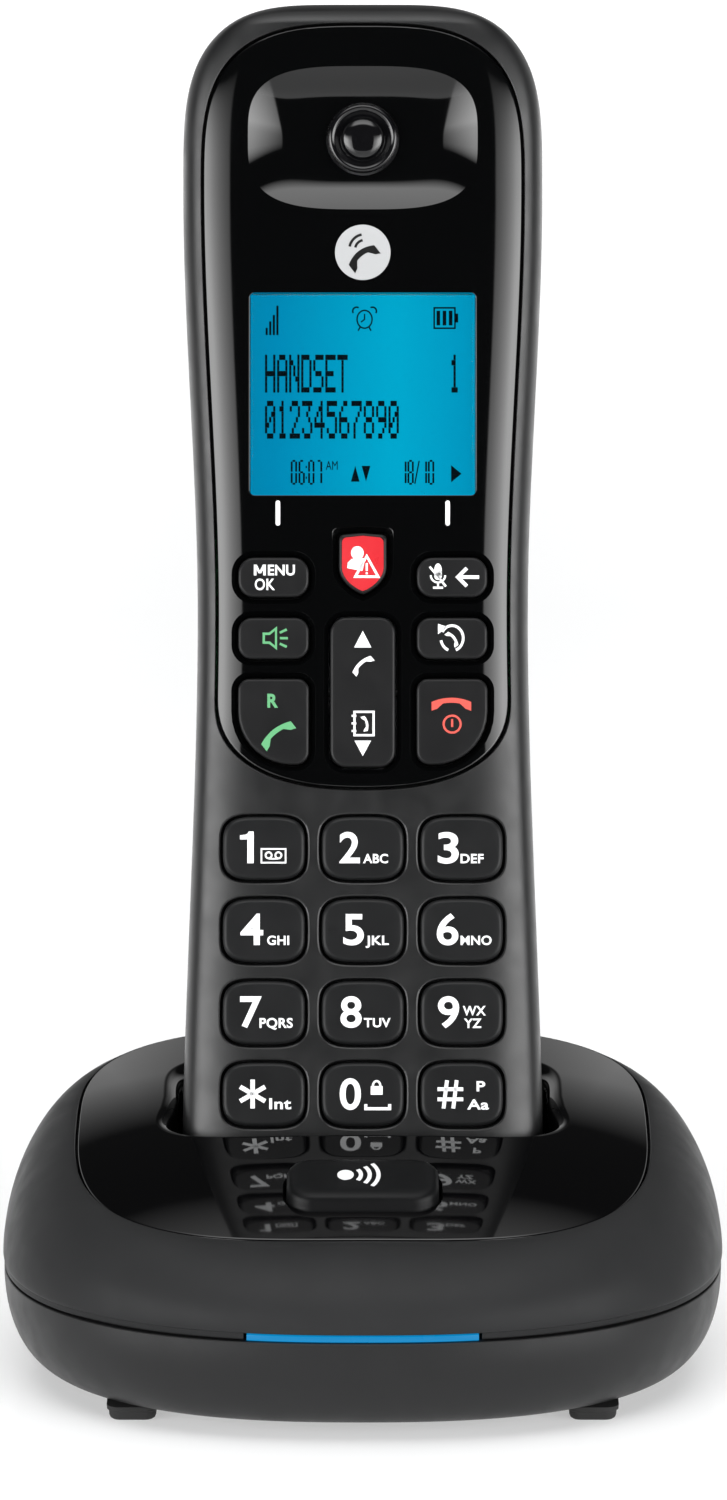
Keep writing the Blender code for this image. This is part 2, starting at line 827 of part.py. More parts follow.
def make_fascia(lean, finish, outer_args):
    fascia = loft_object("fascia", handset_rings(*outer_args), lean, finish)
    outline = face_prism("cut_fascia_outline", fascia_outline(0.0), -6.0, 6.0, lean)
    under = loft_object("cut_fascia_under", inset_rings(FASCIA_THICK), lean, cutter=True)
    holes = add_object("cut_fascia_keys", key_hole_solid(GAP), lean, cutter=True)
    window = face_prism(
        "cut_fascia_window",
        [(x, y + LENS_W) for x, y in rounded(LENS_SIZE[0] + 0.6, LENS_SIZE[1] + 0.6, (1.2,) * 4)],
        -6.0,
        6.0,
        lean,
    )
    bowl = loft_object("cut_ear_bowl", ear_bowl_rings(), lean, cutter=True)
    ring_hole = rod_object(
        "cut_ear_ring", (0, -3, RECESS_W), (0, 5, RECESS_W), 5.1, lean, cutter=True, sides=28
    )
    keep(fascia, outline)
    cut(fascia, under, holes, window, bowl, ring_hole)
    return fascia


def ear_bowl_rings():
    rings = []
    for shrink, t in ((0.0, -2.0), (0.0, -0.02), (1.2, 0.45), (3.4, 0.85), (5.0, 0.95)):
        ring = superellipse(RECESS_HALF[0] - shrink, RECESS_HALF[1] - shrink, 3.2, 32)
        rings.append([(x, t, y + RECESS_W) for x, y in ring])
    return rings


def grille_rings():
    """Turned ring with a small dome at its middle."""
    profile = ((4.8, 1.6), (4.8, 0.7), (4.3, 0.35), (3.3, 0.45), (2.9, 0.95), (2.4, 0.65), (1.0, 0.35))
    rings = []
    for radius, t in profile:
        ring = superellipse(radius, radius, 2.0, 28)
        rings.append([(x, t, y + RECESS_W) for x, y in ring])
    return rings


def disc_rings(centre, profile, sides=24):
    """Stack of circles along the depth direction."""
    rings = []
    for radius, t in profile:
        ring = superellipse(radius, radius, 2.0, sides)
        rings.append([(x + centre[0], t, y + centre[1]) for x, y in ring])
    return rings


def door_outline(grow):
    width = DOOR_HALF * 2
    height = DOOR_W[1] - DOOR_W[0]
    middle = (DOOR_W[0] + DOOR_W[1]) / 2
    return [(u, w + middle) for u, w in rounded(width, height, (1.0, 1.0, 4.0, 4.0), grow)]


def make_back_case(lean, finish, outer_args):
    case = loft_object("handset_back_case", handset_rings(*outer_args), lean, finish)
    hollow = loft_object(
        "cut_back_hollow",
        handset_rings(CASE_SIDE_WALL, CASE_FRONT_WALL, CASE_BACK_WALL, 2.2),
        lean,
        cutter=True,
    )
    back_half = block_object(
        "cut_back_half", (-40, PARTING + GAP / 2, -5), (40, 40, 175), lean, cutter=True
    )
    door_way = face_prism("cut_door_way", door_outline(GAP), PARTING + 1.0, 40.0, lean)
    bay = add_object("cut_bay_walls", bay_wall_solid, lean, cutter=True)
    grille = add_object("cut_ringer_slots", ringer_slot_solid, lean, cutter=True)
    screw_posts = add_object("cut_back_posts", back_post_solid, lean, cutter=True)
    screw_bores = add_object("cut_back_bores", back_bore_solid, lean, cutter=True)
    contacts = add_object("cut_foot_contacts", foot_contact_pocket, lean, cutter=True)
    keep(case, back_half)
    cut(case, hollow)
    join(case, screw_posts)
    cut(case, door_way)
    join(case, bay)
    cut(case, grille, screw_bores, contacts)
    return case


BAY_W = (39.0, 93.0)
TRAY_HALF = 22.0


def bay_wall_solid(solid):
    """Open tray that holds the two cells, drawn as one bent section."""
    floor = PARTING + GAP
    low = BAY_W[0] - 1.7
    high = BAY_W[1] + 1.7
    outline = ((floor, low - 1.2), (floor, high + 1.2), (floor + 6.6, high + 1.2))
    outline += ((floor + 6.6, high), (floor + 1.0, high), (floor + 1.0, low))
    outline += ((floor + 6.6, low), (floor + 6.6, low - 1.2))
    loft(solid, [[(u, t, w) for t, w in outline] for u in (-TRAY_HALF, TRAY_HALF)])


def ringer_slot_solid(solid):
    for k in range(-3, 4):
        half = 7.0 - abs(k) * 1.1
        block(solid, (-half, 18.0, 128.6 + k * 2.4 - 0.5), (half, 30.0, 128.6 + k * 2.4 + 0.5))


def back_post_solid(solid):
    for side in (-1, 1):
        rod(solid, (side * SCREW_U, 12.2, SCREW_W), (side * SCREW_U, 18.5, SCREW_W), 3.6)


def back_bore_solid(solid):
    for side in (-1, 1):
        profile = ((1.6, 10.0), (1.6, 15.2), (3.0, 15.2), (3.0, 30.0))
        loft(solid, disc_rings((side * SCREW_U, SCREW_W), profile, 20))


def foot_contact_pocket(solid):
    for side in (-1, 1):
        x = side * CONTACT_X
        block(solid, (x - 2.3, CONTACT_T - 3.3, -1.0), (x + 2.3, CONTACT_T + 3.3, 4.0))


def make_door(lean, finish, outer_args):
    """Curved cover that follows the back, with a finger ridge near its top."""
    door = loft_object("battery_door", handset_rings(*outer_args), lean, finish)
    outline = face_prism("cut_door_outline", door_outline(0.0), PARTING + 1.6, 40.0, lean)
    under = loft_object(
        "cut_door_under", handset_rings(-6.0, -8.0, DOOR_THICK, 1.0), lean, cutter=True
    )
    grip = add_object("cut_door_grip", door_grip_solid, lean, cutter=True)
    keep(door, outline)
    cut(door, under, grip)
    return door


def door_grip_solid(solid):
    for k in range(4):
        w = DOOR_W[1] - 6.0 - 2.0 * k
        block(solid, (-7.0, THICK_MID - 0.7, w - 0.5), (7.0, THICK_MID + 4.0, w + 0.5))


BATTERY_R = 5.15
BATTERY_T = PARTING + GAP + 1.0 + GAP + BATTERY_R


def battery_solid(u, up):
    def make(solid):
        low, high = BAY_W[0] + 4.0, BAY_W[0] + 48.0
        ends = (low, high) if up else (high, low)
        step = 1 if up else -1
        rings = []
        profile = ((2.0, 0.0), (BATTERY_R - 0.4, 0.0), (BATTERY_R, 0.4), (BATTERY_R, 43.2))
        profile += ((BATTERY_R - 0.5, 43.6), (1.9, 43.6), (1.9, 44.6), (1.0, 44.6))
        for radius, d in profile:
            ring = superellipse(radius, radius, 2.0, 20)
            rings.append([(x + u, y + BATTERY_T, ends[0] + step * d) for x, y in ring])
        loft(solid, rings)

    return make


def battery_contact_solid(w):
    """Plated strip bridging the two cells."""

    def make(solid):
        block(solid, (-9.5, BATTERY_T - 3.0, w - 0.2), (9.5, BATTERY_T + 3.0, w + 0.2))

    return make


def chip_solid(chips):
    def make(solid):
        for low, high in chips:
            block(solid, low, high)

    return make


def make_board(name, low, high, chips, place, finish):
    """Circuit board with its taller packages."""
    board = block_object(name, low, high, place, finish)
    raised = add_object("cut_" + name + "_chips", chip_solid(chips), place, cutter=True)
    join(board, raised)
    return board


def build_base(finishes, lean):
    made = make_cutter_set(lean)
    make_top_shell(finishes["shell"], made)
    make_bottom_shell(finishes["shell_low"])
    make_panel(finishes["panel"], lean, made)
    strip_rings_object(finishes["strip"])
    chips = [((-12, -6, 8.0), (2, 8, 10.2)), ((8, 4, 8.0), (20, 12, 10.0)), ((-22, 6, 8.0), (-15, 18, 12))]
    make_board("base_pcb", (-30, -37, 7.0), (30, 31.0, 8.6), chips, None, finishes["board"])
    for name, (x, width) in JACKS.items():
        jack = add_object(name, jack_solid(x, width), finish=finishes["jack"])
        cut(jack, add_object("cut_" + name, jack_socket(x, width), cutter=True))
    for side, x in (("left", -CONTACT_X), ("right", CONTACT_X)):
        loft_object("charge_contact_" + side, spring_contact_rings(x), lean, finishes["plated"])
    switch = block_object("locate_switch", (-3.1, LOCATE_Y - 3.1, 8.9), (3.1, LOCATE_Y + 3.1, 10.2),
                          finish=finishes["jack_dark"])
    join(switch, rod_object("cut_switch_stem", (0, LOCATE_Y, 9.5), (0, LOCATE_Y, 10.9), 1.7, cutter=True))
    block_object("strip_led", (-2.0, -36.5, 8.9), (2.0, -33.5, 11.5), finish=finishes["led"])
    for name, x, y in (
        ("foot_front_left", -31.3, -31.3),
        ("foot_front_right", 31.3, -31.3),
        ("foot_rear_left", -31.3, 31.3),
        ("foot_rear_right", 31.3, 31.3),
    ):
        loft_object(name, foot_rings(x, y), finish=finishes["rubber"])
    for side, sign in (("left", -1), ("right", 1)):
        add_object("base_screw_" + side, screw_solid(sign * BOSS_X, BOSS_Y, 3.6, 18.0, 1),
                   finish=finishes["steel"])
    loft_object("locate_button", locate_rings(), finish=finishes["button"])


def build_handset(finishes, lean):
    outer = (0.0, 0.0, 0.0, 0.0)
    make_front_case(lean, finishes["case"], outer)
    make_back_case(lean, finishes["case"], outer)
    make_fascia(lean, finishes["gloss"], outer)
    make_door(lean, finishes["door"], outer)
    make_keys(lean, finishes)
    make_rocker(lean, finishes["function"])
    lens = rounded(*LENS_SIZE, (1.0,) * 4)
    rings = [[(x * k, t, y * k + LENS_W) for x, y in lens] for k, t in
             ((1.0, 1.5), (1.0, 0.25), (0.985, 0.1))]
    loft_object("display_lens", rings, lean, finishes["lens"])
    block_object("lcd_module", (-15.6, 2.1, LENS_W - 14.0), (15.6, 3.6, LENS_W + 14.0), lean,
                 finishes["lcd"])
    frame = block_object("lcd_frame", (-17.4, 3.9, LENS_W - 15.6), (17.4, 6.6, LENS_W + 15.6), lean,
                         finishes["frame"])
    cut(frame, block_object("cut_frame_window", (-12.0, 3.0, LENS_W - 11.0), (12.0, 5.6, LENS_W + 11.0),
                            lean, cutter=True))
    loft_object("earpiece_ring", grille_rings(), lean, finishes["satin"])
    loft_object("earpiece_speaker", disc_rings((0, RECESS_W), ((9.0, 3.6), (9.6, 4.0), (9.6, 6.6))),
                lean, finishes["steel_dark"])
    loft_object("microphone", disc_rings((0, MIC_W), ((1.8, 3.6), (2.0, 3.8), (2.0, 5.4)), 16), lean,
                finishes["steel_dark"])
    loft_object("ringer_speaker", disc_rings((0, 128.6), ((5.0, 13.0), (9.6, 15.2), (9.6, 17.6))),
                lean, finishes["steel_dark"])
    mat = block_object("keypad_mat", (-20.2, 5.7, 10.0), (20.2, 6.7, 94.6), lean, finishes["mat"])
    cut(mat, add_object("cut_mat_vents", mat_vent_solid, lean, cutter=True))
    chips = [((-14, 8.0, 100), (-2, 9.6, 112)), ((4, 8.0, 98), (14, 9.4, 110)), ((-16, 8.0, 12), (-8, 9.8, 30))]
    make_board("handset_pcb", (-20.6, 7.0, 10.0), (20.6, 8.2, 140.0), chips, lean, finishes["board"])
    for side, u, up in (("left", -5.7, True), ("right", 5.7, False)):
        add_object("battery_cell_" + side, battery_solid(u, up), lean, finishes["cell"])
    for end, w in (("lower", BAY_W[0] + 1.9), ("upper", BAY_W[1] - 2.1)):
        contact = add_object("battery_contact_" + end, battery_contact_solid(w), lean, finishes["plated"])
        point = 1 if end == "lower" else -1
        coil = add_object("cut_contact_" + end, contact_coil_solid(w, point), lean, cutter=True)
        join(contact, coil)
    for side, u in (("left", -CONTACT_X), ("right", CONTACT_X)):
        block_object("handset_contact_" + side, (u - 2.0, CONTACT_T - 3.0, 0.95),
                     (u + 2.0, CONTACT_T + 3.0, 1.5), lean, finishes["plated"])
    for side, sign in (("left", -1), ("right", 1)):
        place = lean @ Matrix.Translation(Vector((sign * SCREW_U, 0.0, SCREW_W)) * MM)
        place = place @ Matrix.Rotation(math.pi / 2, 4, "X")
        add_object("handset_screw_" + side, screw_solid(0.0, 0.0, -16.9, -5.2, 1), place,
                   finishes["steel"])


def contact_coil_solid(w, point):
    """Cone that stands for each cell's spring."""

    def make(solid):
        for u in (-5.7, 5.7):
            tall = 1.6 if (u < 0) == (point > 0) else 0.55
            rod(solid, (u, BATTERY_T, w), (u, BATTERY_T, w + point * tall), 2.4, 1.2, sides=14)

    return make


def mat_vent_solid(solid):
    for w in (20.9, 32.3, 43.7, 57.0):
        block(solid, (-7.6, 5.0, w - 0.4), (-6.1, 8.0, w + 0.4))
        block(solid, (6.1, 5.0, w - 0.4), (7.6, 8.0, w + 0.4))


def all_finishes():
    return {
        "shell": material("shell_plastic", (0.045, 0.047, 0.050), 0.48),
        "shell_low": material("lower_shell_plastic", (0.042, 0.044, 0.047), 0.5),
        "case": material("case_plastic", (0.045, 0.047, 0.050), 0.46),
        "panel": material("panel_gloss", (0.006, 0.007, 0.008), 0.06),
        "gloss": material("fascia_gloss", (0.008, 0.008, 0.009), 0.07),
        "strip": material("strip_diffuser", (0.02, 0.28, 0.62), 0.3),
        "board": material("circuit_board", (0.02, 0.14, 0.06), 0.5),
        "jack": material("jack_plastic", (0.03, 0.03, 0.03), 0.5),
        "jack_dark": material("switch_plastic", (0.05, 0.05, 0.05), 0.5),
        "plated": material("plated_contact", (0.78, 0.74, 0.62), 0.22, 1.0),
        "led": material("led_body", (0.8, 0.82, 0.85), 0.3),
        "rubber": material("foot_rubber", (0.02, 0.02, 0.02), 0.85),
        "steel": material("screw_steel", (0.5, 0.5, 0.52), 0.35, 1.0),
        "steel_dark": material("transducer_metal", (0.22, 0.22, 0.24), 0.4, 1.0),
        "button": material("button_plastic", (0.02, 0.021, 0.022), 0.4),
        "door": material("door_plastic", (0.045, 0.047, 0.050), 0.46),
        "lens": material("lens_acrylic", (0.02, 0.16, 0.3), 0.05),
        "lcd": material("lcd_glass", (0.02, 0.25, 0.45), 0.2),
        "frame": material("display_frame_plastic", (0.6, 0.6, 0.58), 0.4),
        "satin": material("earpiece_satin", (0.05, 0.05, 0.055), 0.25),
        "mat": material("mat_rubber", (0.12, 0.12, 0.12), 0.8),
        "cell": material("cell_sleeve", (0.05, 0.28, 0.16), 0.35),
        "number": material("number_key_plastic", (0.022, 0.023, 0.025), 0.34),
        "function": material("function_key_plastic", (0.012, 0.012, 0.013), 0.2),
        "shield": material("shield_key_plastic", (0.42, 0.015, 0.02), 0.3),
    }


def build():
    global PARTS, CUTTERS
    clear_scene()
    PARTS = new_collection("cordless_phone")
    CUTTERS = new_collection("cutters")
    CUTTERS.hide_render = True
    lean = lean_matrix()
    finishes = all_finishes()
    build_base(finishes, lean)
    build_handset(finishes, lean)


build()
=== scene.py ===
"""Cordless telephone docked in its charging base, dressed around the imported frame.

Sizes are in millimetres until a mesh is made.  The handset is drawn in its own
axes: u across, t from the face to the back, w up its length.
"""

import math

import bmesh
import bpy
import numpy as np
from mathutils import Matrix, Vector


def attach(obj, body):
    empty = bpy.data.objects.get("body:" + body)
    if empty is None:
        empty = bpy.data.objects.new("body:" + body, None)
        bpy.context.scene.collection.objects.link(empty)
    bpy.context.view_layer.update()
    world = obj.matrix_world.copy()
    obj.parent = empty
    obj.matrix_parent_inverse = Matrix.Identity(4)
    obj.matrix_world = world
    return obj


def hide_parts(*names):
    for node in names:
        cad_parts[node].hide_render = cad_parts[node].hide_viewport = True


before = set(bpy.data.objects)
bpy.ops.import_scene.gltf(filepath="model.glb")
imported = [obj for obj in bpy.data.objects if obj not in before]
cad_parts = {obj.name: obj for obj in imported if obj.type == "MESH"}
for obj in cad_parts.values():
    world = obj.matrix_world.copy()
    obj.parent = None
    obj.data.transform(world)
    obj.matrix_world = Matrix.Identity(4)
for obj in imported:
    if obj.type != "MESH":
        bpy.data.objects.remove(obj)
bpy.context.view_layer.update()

MM = 0.001
LEAN = math.radians(14.0)
ORIGIN = (0.0, -8.79, 23.75)
GAP = 0.3

# ------------------------------------------------------------------ numbers of the design
BASE_HALF, BASE_WIDEST, PLAN_POWER = 49.9, 50.05, 2.45
RIM_HALF_X, RIM_HALF_Y, RIM_SHIFT, RIM_POWER = 40.1, 40.5, 1.5, 2.95
EDGE_POWER, BOTTOM_POWER = 1.85, 2.1
BOTTOM_HALF, BOTTOM_Z, BOTTOM_TOP, TOP_START, WIDEST_Z = 42.8, 2.3, 14.9, 15.2, 16.5
PANEL_HALF_X, PANEL_HALF_Y, PANEL_POWER, PANEL_THICK = 39.6, 40.1, 3.15, 1.6
LENGTH, PARTING, THICK_MID, THICK_TOP = 168.4, 12.0, 25.8, 22.0
FRONT_POWER, BACK_POWER = 5.5, 3.2
FOOT_RADIUS, SHOULDER_W, CROWN_RISE = 2.5, 144.1, 24.16
FASCIA_TOP, FASCIA_BOTTOM, FASCIA_WALL = 164.3, 57.8, 2.6
EAR_W, LENS_W = 148.5, 112.7
LENS_SIZE = (30.9, 27.7)
NUMBER_SIZE, NUMBER_PITCH = (11.4, 8.8), 13.7
NUMBER_ROWS = (49.4, 38.0, 26.6, 15.3)
NUMBER_NAMES = (
    ("key_1", "key_2", "key_3"),
    ("key_4", "key_5", "key_6"),
    ("key_7", "key_8", "key_9"),
    ("key_star", "key_0", "key_hash"),
)
SIDE_KEY_X, CALL_BLOCK_W = 12.4, 88.9
MENU_W, SPEAKER_W, TALK_W = 87.1, 78.6, 67.0
ROCKER_W, ROCKER_SIZE = 71.1, (9.0, 20.8)
LOCATE_SIZE, LOCATE_Y = (20.8, 10.4), -26.2
DOOR_W, DOOR_HALF, CELLS_W = (36.0, 96.0), 17.5, (39.0, 93.0)
RINGER_W = 128.6
FLANGE_TOP, KEY_SINK, NUMBER_TOP = 3.5, 0.35, -0.6
WALL, FRONT_WALL, END_WALL, LEDGE = 2.0, 3.2, 2.2, 2.6
FOOT_X, CONTACT_X = 31.3, 13.0
BASE_SCREW_X, BASE_SCREW_Y = 37.2, 3.0
SCREW_U, SCREW_W = 16.5, 151.0
BADGE_W, SOFT_LINE = 132.45, (11.8, 96.05)
TRUE_SKIN = 0.04


# ------------------------------------------------------------------ small mesh kit
def lean(points):
    """Handset axes to the part's own frame."""
    p = np.asarray(points, float).reshape(-1, 3)
    c, s = math.cos(LEAN), math.sin(LEAN)
    u, t, w = p.T
    return np.column_stack([u + ORIGIN[0], t * c + w * s + ORIGIN[1], -t * s + w * c + ORIGIN[2]])


def unlean(points):
    """The part's own frame to handset axes."""
    p = np.asarray(points, float).reshape(-1, 3) - np.array(ORIGIN)
    c, s = math.cos(LEAN), math.sin(LEAN)
    x, y, z = p.T
    return np.column_stack([x, y * c - z * s, y * s + z * c])


def lean_vectors(v):
    c, s = math.cos(LEAN), math.sin(LEAN)
    return np.column_stack([v[:, 0], v[:, 1] * c + v[:, 2] * s, -v[:, 1] * s + v[:, 2] * c])


def raw_object(name, verts, faces, leaned=False):
    verts = lean(verts) if leaned else np.asarray(verts, float).reshape(-1, 3)
    mesh = bpy.data.meshes.new(name)
    mesh.from_pydata((verts * MM).tolist(), [], faces)
    solid = bmesh.new()
    solid.from_mesh(mesh)
    bmesh.ops.recalc_face_normals(solid, faces=solid.faces[:])
    solid.to_mesh(mesh)
    solid.free()
    obj = bpy.data.objects.new(name, mesh)
    bpy.context.scene.collection.objects.link(obj)
    return obj


def loft(name, rings, leaned=False, ring_shaped=False):
    """Skin equal rings; capped at both ends, or closed on itself."""
    count = len(rings[0])
    verts = np.concatenate([np.asarray(r, float).reshape(-1, 3) for r in rings])
    faces = []
    pairs = [(k, k + 1) for k in range(len(rings) - 1)]
    if ring_shaped:
        pairs.append((len(rings) - 1, 0))
    for a, b in pairs:
        for i in range(count):
            j = (i + 1) % count
            faces.append((a * count + i, a * count + j, b * count + j, b * count + i))
    if not ring_shaped:
        faces.append(tuple(range(count)))
        faces.append(tuple((len(rings) - 1) * count + i for i in range(count)))
    return raw_object(name, verts, faces, leaned)


def block(name, low, high, leaned=False):
    (a, b, c), (d, e, f) = low, high
    rings = [[(a, b, z), (d, b, z), (d, e, z), (a, e, z)] for z in (c, f)]
    return loft(name, rings, leaned)


def carve(obj, operation, tools):
    """Apply one Boolean for each tool in turn; the tools are removed."""
    for tool in tools:
        step = obj.modifiers.new("step", "BOOLEAN")
        step.operation = operation
        step.solver = "MANIFOLD"
        step.object = tool
    graph = bpy.context.evaluated_depsgraph_get()
    mesh = bpy.data.meshes.new_from_object(obj.evaluated_get(graph))
    obj.modifiers.clear()
    obj.data = mesh
    for tool in tools:
        bpy.data.objects.remove(tool, do_unlink=True)


def cut(obj, *tools):
    carve(obj, "DIFFERENCE", tools)


def keep(obj, *tools):
    carve(obj, "INTERSECT", tools)


def join(obj, *tools):
    carve(obj, "UNION", tools)


def numbers_of(items, name, kind=np.float32, width=1):
    """One attribute of every item of a mesh, as an array."""
    values = np.empty(len(items) * width, kind)
    items.foreach_get(name, values)
    return values.reshape(-1, width) if width > 1 else values


def shade(obj, angle=32.0, surface=None):
    """Smooth shading; surface(points mm) gives true normals and the distance to the true surface."""
    mesh = obj.data
    mesh.shade_smooth()
    mesh.set_sharp_from_angle(angle=math.radians(angle))
    if surface is None:
        return
    normals = numbers_of(mesh.corner_normals, "vector", width=3)
    points = numbers_of(mesh.vertices, "co", width=3).astype(float) / MM
    which = numbers_of(mesh.loops, "vertex_index", np.int32)
    true, distance = surface(points)
    corners = numbers_of(mesh.polygons, "loop_total", np.int32)
    flat = np.repeat(numbers_of(mesh.polygons, "normal", width=3), corners, axis=0)
    wanted = true[which]
    good = (np.abs(distance[which]) < TRUE_SKIN) & ((wanted * flat).sum(1) > 0.9)
    normals[good] = wanted[good]
    mesh.normals_split_custom_set(normals.tolist())


def finish_piece(obj, body, finish, replaces=()):
    """Give a piece its material, the body it rides and the nodes it stands for."""
    obj.data.materials.clear()
    obj.data.materials.append(finish)
    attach(obj, body)
    if replaces:
        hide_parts(*replaces)


def superellipse(half_x, half_y, power, count, low_y=None, low_power=None):
    """Squarish oval; low_y and low_power give its lower half another depth and power."""
    angle = 2 * np.pi * np.arange(count) / count
    c, s = np.cos(angle), np.sin(angle)
    low = s < -1e-9
    power_here = np.where(low, low_power or power, power)
    depth = np.where(low, half_y if low_y is None else low_y, half_y)
    x = half_x * np.sign(c) * np.abs(c) ** (2 / power_here)
    y = depth * np.sign(s) * np.abs(s) ** (2 / power_here)
    return np.column_stack([x, y])


def rounded(width, height, radii, grow=0.0, per=10):
    """Rounded rectangle; radii from the upper right corner anticlockwise."""
    half_x, half_y = width / 2 + grow, height / 2 + grow
    points = []
    corners = ((1, 1, 0), (-1, 1, 90), (-1, -1, 180), (1, -1, 270))
    for (sx, sy, start), radius in zip(corners, radii):
        r = max(radius + grow, 0.15)
        for i in range(per):
            a = math.radians(start + 90 * i / (per - 1))
            points.append((sx * (half_x - r) + r * math.cos(a), sy * (half_y - r) + r * math.sin(a)))
    return np.array(points)


def with_height(ring, z):
    """Plan points (x, y) at height z."""
    return np.column_stack([ring[:, 0], ring[:, 1], np.broadcast_to(z, len(ring))])


def at_depth(ring, t, centre_w=0.0):
    """Face points (u, w) at depth t of the handset."""
    return np.column_stack([ring[:, 0], np.broadcast_to(t, len(ring)), ring[:, 1] + centre_w])


def smoothstep(x):
    x = np.clip(x, 0.0, 1.0)
    return x * x * (3 - 2 * x)


def arc_fraction(distance, reach, power):
    x = np.clip((reach - np.maximum(distance, 0.0)) / reach, 0.0, 1.0)
    return (1 - x**power) ** (1 / power)


# ------------------------------------------------------------------ materials
def node(tree, kind, **values):
    made = tree.nodes.new(kind)
    for key, value in values.items():
        setattr(made, key, value)
    return made


def noise(tree, coords, scale, detail=2.0, rough=0.5):
    made = node(tree, "ShaderNodeTexNoise")
    made.inputs["Scale"].default_value = scale
    made.inputs["Detail"].default_value = detail
    made.inputs["Roughness"].default_value = rough
    tree.links.new(coords, made.inputs["Vector"])
    return made.outputs["Fac"]


def ranged(tree, value, low, high, start=0.3, end=0.7):
    made = node(tree, "ShaderNodeMapRange")
    made.inputs["From Min"].default_value = start
    made.inputs["From Max"].default_value = end
    made.inputs["To Min"].default_value = low
    made.inputs["To Max"].default_value = high
    tree.links.new(value, made.inputs["Value"])
    return made.outputs["Result"]


def mixed(tree, fac, a, b):
    made = node(tree, "ShaderNodeMix", data_type="RGBA")
    tree.links.new(fac, made.inputs[0])
    made.inputs[6].default_value = (*a, 1.0)
    made.inputs[7].default_value = (*b, 1.0)
    return made.outputs[2]


def look(name, colour, rough, spread=0.12, rough_spread=0.05, grain=0.0, grain_scale=5200.0,
         patch_scale=90.0, metallic=0.0, specular=0.5, emission=None, strength=0.0):
    """Moulded or coated surface: slow tone drift, uneven polish and, if asked, a spark-eroded grain."""
    made = bpy.data.materials.new(name)
    made.use_nodes = True
    tree = made.node_tree
    shader = tree.nodes["Principled BSDF"]
    coords = node(tree, "ShaderNodeTexCoord").outputs["Object"]
    drift = noise(tree, coords, patch_scale, 3.0)
    dark = tuple(c * (1 - spread) for c in colour)
    light = tuple(min(c * (1 + spread), 1.0) for c in colour)
    tree.links.new(mixed(tree, drift, dark, light), shader.inputs["Base Color"])
    uneven = noise(tree, coords, patch_scale * 2.6, 4.0)
    tree.links.new(
        ranged(tree, uneven, max(rough - rough_spread, 0.02), rough + rough_spread),
        shader.inputs["Roughness"],
    )
    if grain:
        bump = node(tree, "ShaderNodeBump")
        bump.inputs["Strength"].default_value = grain
        bump.inputs["Distance"].default_value = 0.00004
        tree.links.new(noise(tree, coords, grain_scale, 2.0, 0.6), bump.inputs["Height"])
        tree.links.new(bump.outputs["Normal"], shader.inputs["Normal"])
    shader.inputs["Metallic"].default_value = metallic
    shader.inputs["Specular IOR Level"].default_value = specular
    shader.inputs["IOR"].default_value = 1.5
    if emission:
        glow = mixed(tree, drift, tuple(c * 0.94 for c in emission), tuple(c * 1.05 for c in emission))
        tree.links.new(glow, shader.inputs["Emission Color"])
        shader.inputs["Emission Strength"].default_value = strength
    return made


SHELL = look("shell_matte", (0.0228, 0.0232, 0.0238), 0.38, grain=0.34, specular=0.05)
LOWER = look("lower_shell_matte", (0.0105, 0.0107, 0.0111), 0.42, grain=0.34, specular=0.24)
CASE = look("case_matte", (0.0085, 0.0087, 0.0090), 0.34, grain=0.26, specular=0.40)
PANEL = look("panel_black_gloss", (0.0012, 0.0012, 0.0014), 0.045, rough_spread=0.012, patch_scale=40)
FASCIA = look("fascia_black_gloss", (0.0010, 0.0011, 0.0012), 0.05, rough_spread=0.012, patch_scale=40)
NUMBER = look("number_key_satin", (0.0095, 0.0098, 0.0102), 0.36,
              grain=0.14, grain_scale=7000, specular=0.16)
FUNCTION = look("function_key_satin", (0.0100, 0.0101, 0.0105), 0.34,
                grain=0.10, grain_scale=7000, specular=0.16)
BUTTON = look("locate_button_satin", (0.0042, 0.0044, 0.0047), 0.38,
              grain=0.15, grain_scale=7000, specular=0.12)
WHITE = look("legend_white_ink", (0.86, 0.87, 0.88), 0.45, spread=0.03, grain=0.05)
GREEN = look("legend_green_ink", (0.100, 0.34, 0.15), 0.45, spread=0.04, grain=0.05)
CORAL = look("legend_coral_ink", (0.58, 0.078, 0.058), 0.45, spread=0.04, grain=0.05)
RED = look("shield_red", (0.50, 0.017, 0.024), 0.32, spread=0.05)
SILVER = look("badge_silver", (0.38, 0.385, 0.39), 0.35, spread=0.03, rough_spread=0.04)
STRIP = look("light_pipe_blue", (0.001, 0.02, 0.05), 0.25, specular=0.2,
             emission=(0.001, 0.225, 0.50), strength=1.0)
RUBBER = look("foot_rubber", (0.012, 0.012, 0.012), 0.78, grain=0.4, grain_scale=3000)
STEEL = look("screw_zinc", (0.55, 0.56, 0.58), 0.30, metallic=1.0, grain=0.15, grain_scale=9000)
PLATED = look("gold_plating", (0.83, 0.66, 0.36), 0.22, metallic=1.0, grain=0.08)
TIN = look("transducer_tin", (0.50, 0.50, 0.52), 0.32, metallic=1.0, grain=0.2)
SATIN = look("earpiece_satin_black", (0.003, 0.003, 0.0035), 0.07, rough_spread=0.02)
JACK = look("jack_nylon", (0.016, 0.016, 0.017), 0.5, grain=0.2)
INK = look("lcd_segment_ink", (0.001, 0.004, 0.006), 0.4, spread=0.2, specular=0.0)
FRAME_WHITE = look("display_frame_white", (0.62, 0.62, 0.60), 0.45, grain=0.1)
MAT = look("keypad_silicone", (0.16, 0.16, 0.165), 0.7, grain=0.2)
CELL = look("cell_sleeve_green", (0.03, 0.26, 0.12), 0.3, spread=0.06)


